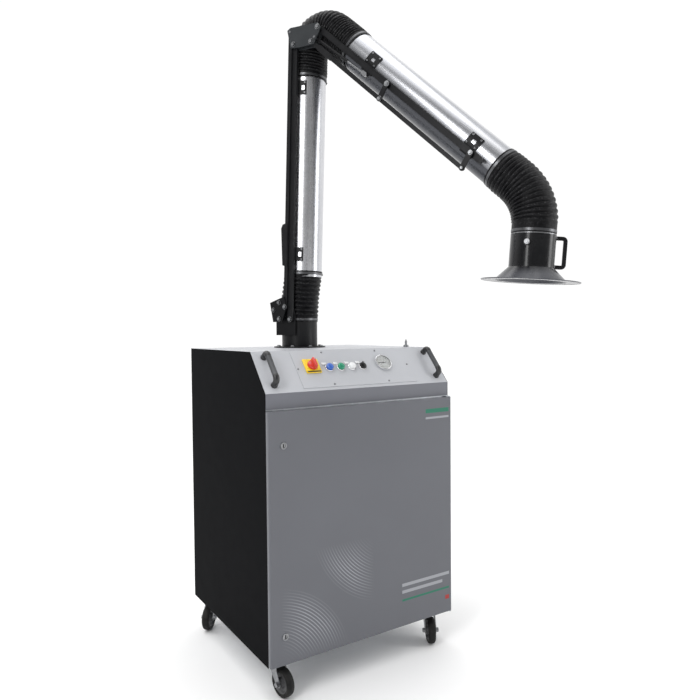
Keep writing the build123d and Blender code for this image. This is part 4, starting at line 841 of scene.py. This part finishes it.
def filter_pleats():
    """Pleated cartridge with a closed foot and an open head."""
    made = Build()
    foot, head = 0.879 - 0.0003 - 0.540, 0.879 - 0.0003
    place = Matrix.Translation((-0.170, -0.060, 0))
    folds = 110
    rings = []
    for radius_out, radius_in, height in ((0.156, 0.128, foot + 0.012), (0.156, 0.128, head - 0.012),
                                          (0.0960, 0.0958, head - 0.012), (0.0960, 0.0958, foot + 0.012)):
        ring = []
        for index in range(2 * folds):
            angle = pi * index / folds
            radius = radius_out if index % 2 == 0 else radius_in
            ring.append(place @ Vector((radius * cos(angle), radius * sin(angle), height)))
        rings.append(ring)
    made.skin(rings, 0, wrap_rings=True)
    made.lathe(place, [(0, foot), (0.160, foot), (0.162, foot + 0.002), (0.162, foot + 0.015),
                       (0, foot + 0.015)], 72, 1)
    made.lathe(place, [(0.095, head - 0.015), (0.172, head - 0.015), (0.172, head), (0.095, head)], 72, 1,
               wrap=True)
    made.done("filter_pleats", "cabinet", ["filter_media", "sheet_zinc"], "filter_media",
              ["filter_cartridge"], 20)


# ---- arm ------------------------------------------------------------------------------------------
def arm_hardware():
    """Bolts on the linkage's pivots, saddle screws and hose bands."""
    sets = (
        ("arm_foot_bolts", "arm_base", [((-0.054, 1.337), OUTER_TOP, 0.0070),
                                        ((-0.026, 1.300), OUTER_TOP, 0.0070),
                                        ((-0.026, 1.367), OUTER_TOP, 0.0070),
                                        (FOOT, BEAM_TOP + 0.0003, 0.0078),
                                        (FOOT + LOWER_LINK, OUTER_TOP, 0.0074)]),
        ("elbow_bolts", "elbow", [(ELBOW_LOW, OUTER_TOP, 0.0074), (ELBOW_UP, OUTER_TOP, 0.0078),
                                  (ELBOW_UP + UPPER_LINK, OUTER_TOP, 0.0074),
                                  (ELBOW_UP + SPRING_BASE, OUTER_TOP, 0.0050)]),
        ("upper_beam_bolts", "upper_arm", [(on_upper(MID_LINK), OUTER_TOP, 0.0072),
                                           (on_upper(END_LINK), OUTER_TOP, 0.0058)]),
        ("mid_link_bolt", "mid_link", [(on_upper(MID_LINK) + UPPER_LINK, OUTER_TOP, 0.0072)]),
        ("end_link_bolt", "end_link", [(on_upper(END_LINK) + UPPER_LINK, OUTER_TOP, 0.0058)]),
        ("lower_rod_bolt", "lower_rod", [(ELBOW_LOW + LOWER_LINK, 0.1105, 0.0060)]),
    )
    for name, body, spots in sets:
        made = Build()
        for point, out, radius in spots:
            made.bolt(out_of_arm(point, out), radius, 0.0062)
        made.done(name, body, ["zinc_plated"], "zinc_plated")
    for name, body, centres, heading, aside in (
            ("lower_saddle_screws", "lower_arm", [on_lower(at) for at in LOWER_SADDLES], LOWER_DIR,
             LOWER_SIDE),
            ("upper_saddle_screws", "upper_arm", [on_upper(at, TUBE_OFF) for at in UPPER_SADDLES],
             UPPER_DIR, UPPER_SIDE)):
        made = Build()
        for centre in centres:
            for along in (-0.020, 0.020):
                for swing in ((-24, 23) if body == "lower_arm" else (-2, 23)):
                    angle = radians(swing)
                    radius = TUBE_R + 0.0040
                    flat = centre + heading * along + aside * (radius * sin(angle))
                    point = at_arm(flat, radius * cos(angle))
                    out = ARM.to_3x3() @ Vector((aside.x * sin(angle), -cos(angle), aside.y * sin(angle)))
                    made.socket_screw(facing(point, out), 0.0042, 0.0030)
        made.done(name, body, ["zinc_plated", "dial_black"], "zinc_plated")
    hose_clamp("band_base_low", "arm_base", Vector((0, 1.298)), Vector((0, 1)), 1.2)
    hose_clamp("band_base_top", "lower_arm", on_lower(LOWER_TUBE[0] - 0.010), LOWER_DIR, -0.6)
    hose_clamp("band_elbow_low", "lower_arm", on_lower(LOWER_TUBE[1] + 0.011), LOWER_DIR, -0.6)
    hose_clamp("band_elbow_top", "upper_arm", on_upper(UPPER_TUBE[0] - 0.011, TUBE_OFF), UPPER_DIR, 0.4)
    hose_clamp("band_wrist_top", "upper_arm", on_upper(UPPER_TUBE[1] + 0.011, TUBE_OFF), UPPER_DIR, 0.4)
    hose_clamp("band_hood", "wrist", WRIST + HOOD_DIR * 0.118, HOOD_DIR, 2.2)


def hood_hardware():
    """Spindle nut of the damper, grip screws and the rolled rim of the brim."""
    made = Build()
    place = WRIST_FRAME @ Matrix.Translation((0, -COLLAR_R - 0.012, -DAMPER_AT)) @ QUARTER
    made.bolt(place, 0.0058, 0.0042)
    made.done("damper_nut", "damper", ["zinc_plated"], "zinc_plated")
    grip = Build()
    for height in (-COLLAR_FROM - 0.006, -COLLAR_TO + 0.006):
        for swing in (-7, 7):
            turn = WRIST_FRAME @ Matrix.Rotation(HOOD_GRIP_TURN + radians(swing), 4, "Z")
            spot = turn @ Matrix.Translation((COLLAR_R, 0, height)) @ Matrix.Rotation(radians(90), 4, "Y")
            grip.socket_screw(spot, 0.0038, 0.0024)
    grip.done("hood_grip_screws", "hood", ["zinc_plated", "dial_black"], "zinc_plated")
    rim = Build()
    rim.lathe(WRIST_FRAME, [(BRIM_R - 0.0030, -BRIM_AT - 0.0006), (BRIM_R - 0.0004, -BRIM_AT - 0.0008),
                            (BRIM_R + 0.0008, -BRIM_AT + 0.0010),
                            (BRIM_R - 0.0004, -BRIM_AT + 0.0028), (BRIM_R - 0.0030, -BRIM_AT + 0.0026)],
              128, 0, wrap=True)
    rim.done("hood_rim", "hood", ["hood_black"], "arm_black")


# ---- finishes on CAD nodes --------------------------------------------------------------------------
def finish_nodes():
    """Give every carried-over CAD node its finish."""
    by_slot = {row["node"]: row["material_slot"] for row in frame["record"]["subparts"]}
    special = {"upper_tube": "tube_aluminium_upper", "elbow_plate": "link_grey", "hood": "hood_black",
               "damper": "steel_band"}
    for name, node in NODES.items():
        slot = special.get(name, by_slot[name])
        node.data.materials.clear()
        node.data.materials.append(MATERIALS[slot])


# ---- stage ----------------------------------------------------------------------------------------
def stage():
    made = bmesh.new()
    bmesh.ops.create_grid(made, x_segments=8, y_segments=8, size=40.0)
    mesh = bpy.data.meshes.new("floor")
    made.to_mesh(mesh)
    made.free()
    mesh.materials.append(MATERIALS["floor_pale"])
    floor = bpy.data.objects.new("floor", mesh)
    SCENE.collection.objects.link(floor)
    world = bpy.data.worlds.new("studio")
    SCENE.world = world
    world.use_nodes = True
    back = next(n for n in world.node_tree.nodes if n.type == "BACKGROUND")
    # white ahead of the camera and overhead, dimmer behind it, as in a studio with a lit backdrop
    coord = world.node_tree.nodes.new("ShaderNodeTexCoord")
    ahead = world.node_tree.nodes.new("ShaderNodeVectorMath")
    ahead.operation = "DOT_PRODUCT"
    ahead.inputs[1].default_value = (0.547, 0.837, 0.45)
    ramp = world.node_tree.nodes.new("ShaderNodeMapRange")
    for key, value in (("From Min", -0.25), ("From Max", 0.30), ("To Min", 0.26), ("To Max", 1.03)):
        ramp.inputs[key].default_value = value
    world.node_tree.links.new(coord.outputs["Generated"], ahead.inputs[0])
    world.node_tree.links.new(ahead.outputs["Value"], ramp.inputs["Value"])
    world.node_tree.links.new(ramp.outputs["Result"], back.inputs["Strength"])
    back.inputs["Color"].default_value = (1.0, 1.0, 1.0, 1.0)
    sun = bpy.data.lights.new("overhead", "SUN")
    sun.energy, sun.angle = 1.5, radians(70)
    lamp = bpy.data.objects.new("overhead", sun)
    lamp.rotation_euler = (radians(-12), radians(-10), 0)
    SCENE.collection.objects.link(lamp)
    for name, spot, target, size, power, tall in (
            ("key", (-2.8, -1.6, 2.6), (0, 0, 1.4), 0.7, 45.0, 2.6),
            ("fill", (2.6, -2.4, 2.2), (0.2, -0.2, 1.2), 0.9, 32.0, 2.6)):
        light = bpy.data.lights.new(name, "AREA")
        light.shape = "RECTANGLE"
        light.size, light.size_y = size, tall
        light.energy = power
        lamp = bpy.data.objects.new(name, light)
        lamp.location = spot
        lamp.rotation_euler = (Vector(target) - Vector(spot)).to_track_quat("-Z", "Y").to_euler()
        SCENE.collection.objects.link(lamp)


def camera():
    yaw, pitch, roll = radians(33.167), radians(1.822), radians(0.461)
    forward = Vector((sin(yaw) * cos(pitch), cos(yaw) * cos(pitch), -sin(pitch)))
    right = Vector((cos(yaw), -sin(yaw), 0))
    down = forward.cross(right)
    turned_right = right * cos(roll) + down * sin(roll)
    turned_down = down * cos(roll) - right * sin(roll)
    data = bpy.data.cameras.new("photo_view")
    data.lens, data.sensor_width = 32.41, 36.0
    eye = bpy.data.objects.new("photo_view", data)
    axes = Matrix((turned_right, -turned_down, -forward)).transposed().to_4x4()
    eye.matrix_world = Matrix.Translation((-1.2971, -2.2453, 1.2517)) @ axes
    SCENE.collection.objects.link(eye)
    SCENE.camera = eye


make_materials()
finish_nodes()
camera()
stage()
console()
door_details()
casters()
filter_pleats()
hoses()
arm_hardware()
hood_hardware()
SCENE.view_settings.view_transform = "Standard"
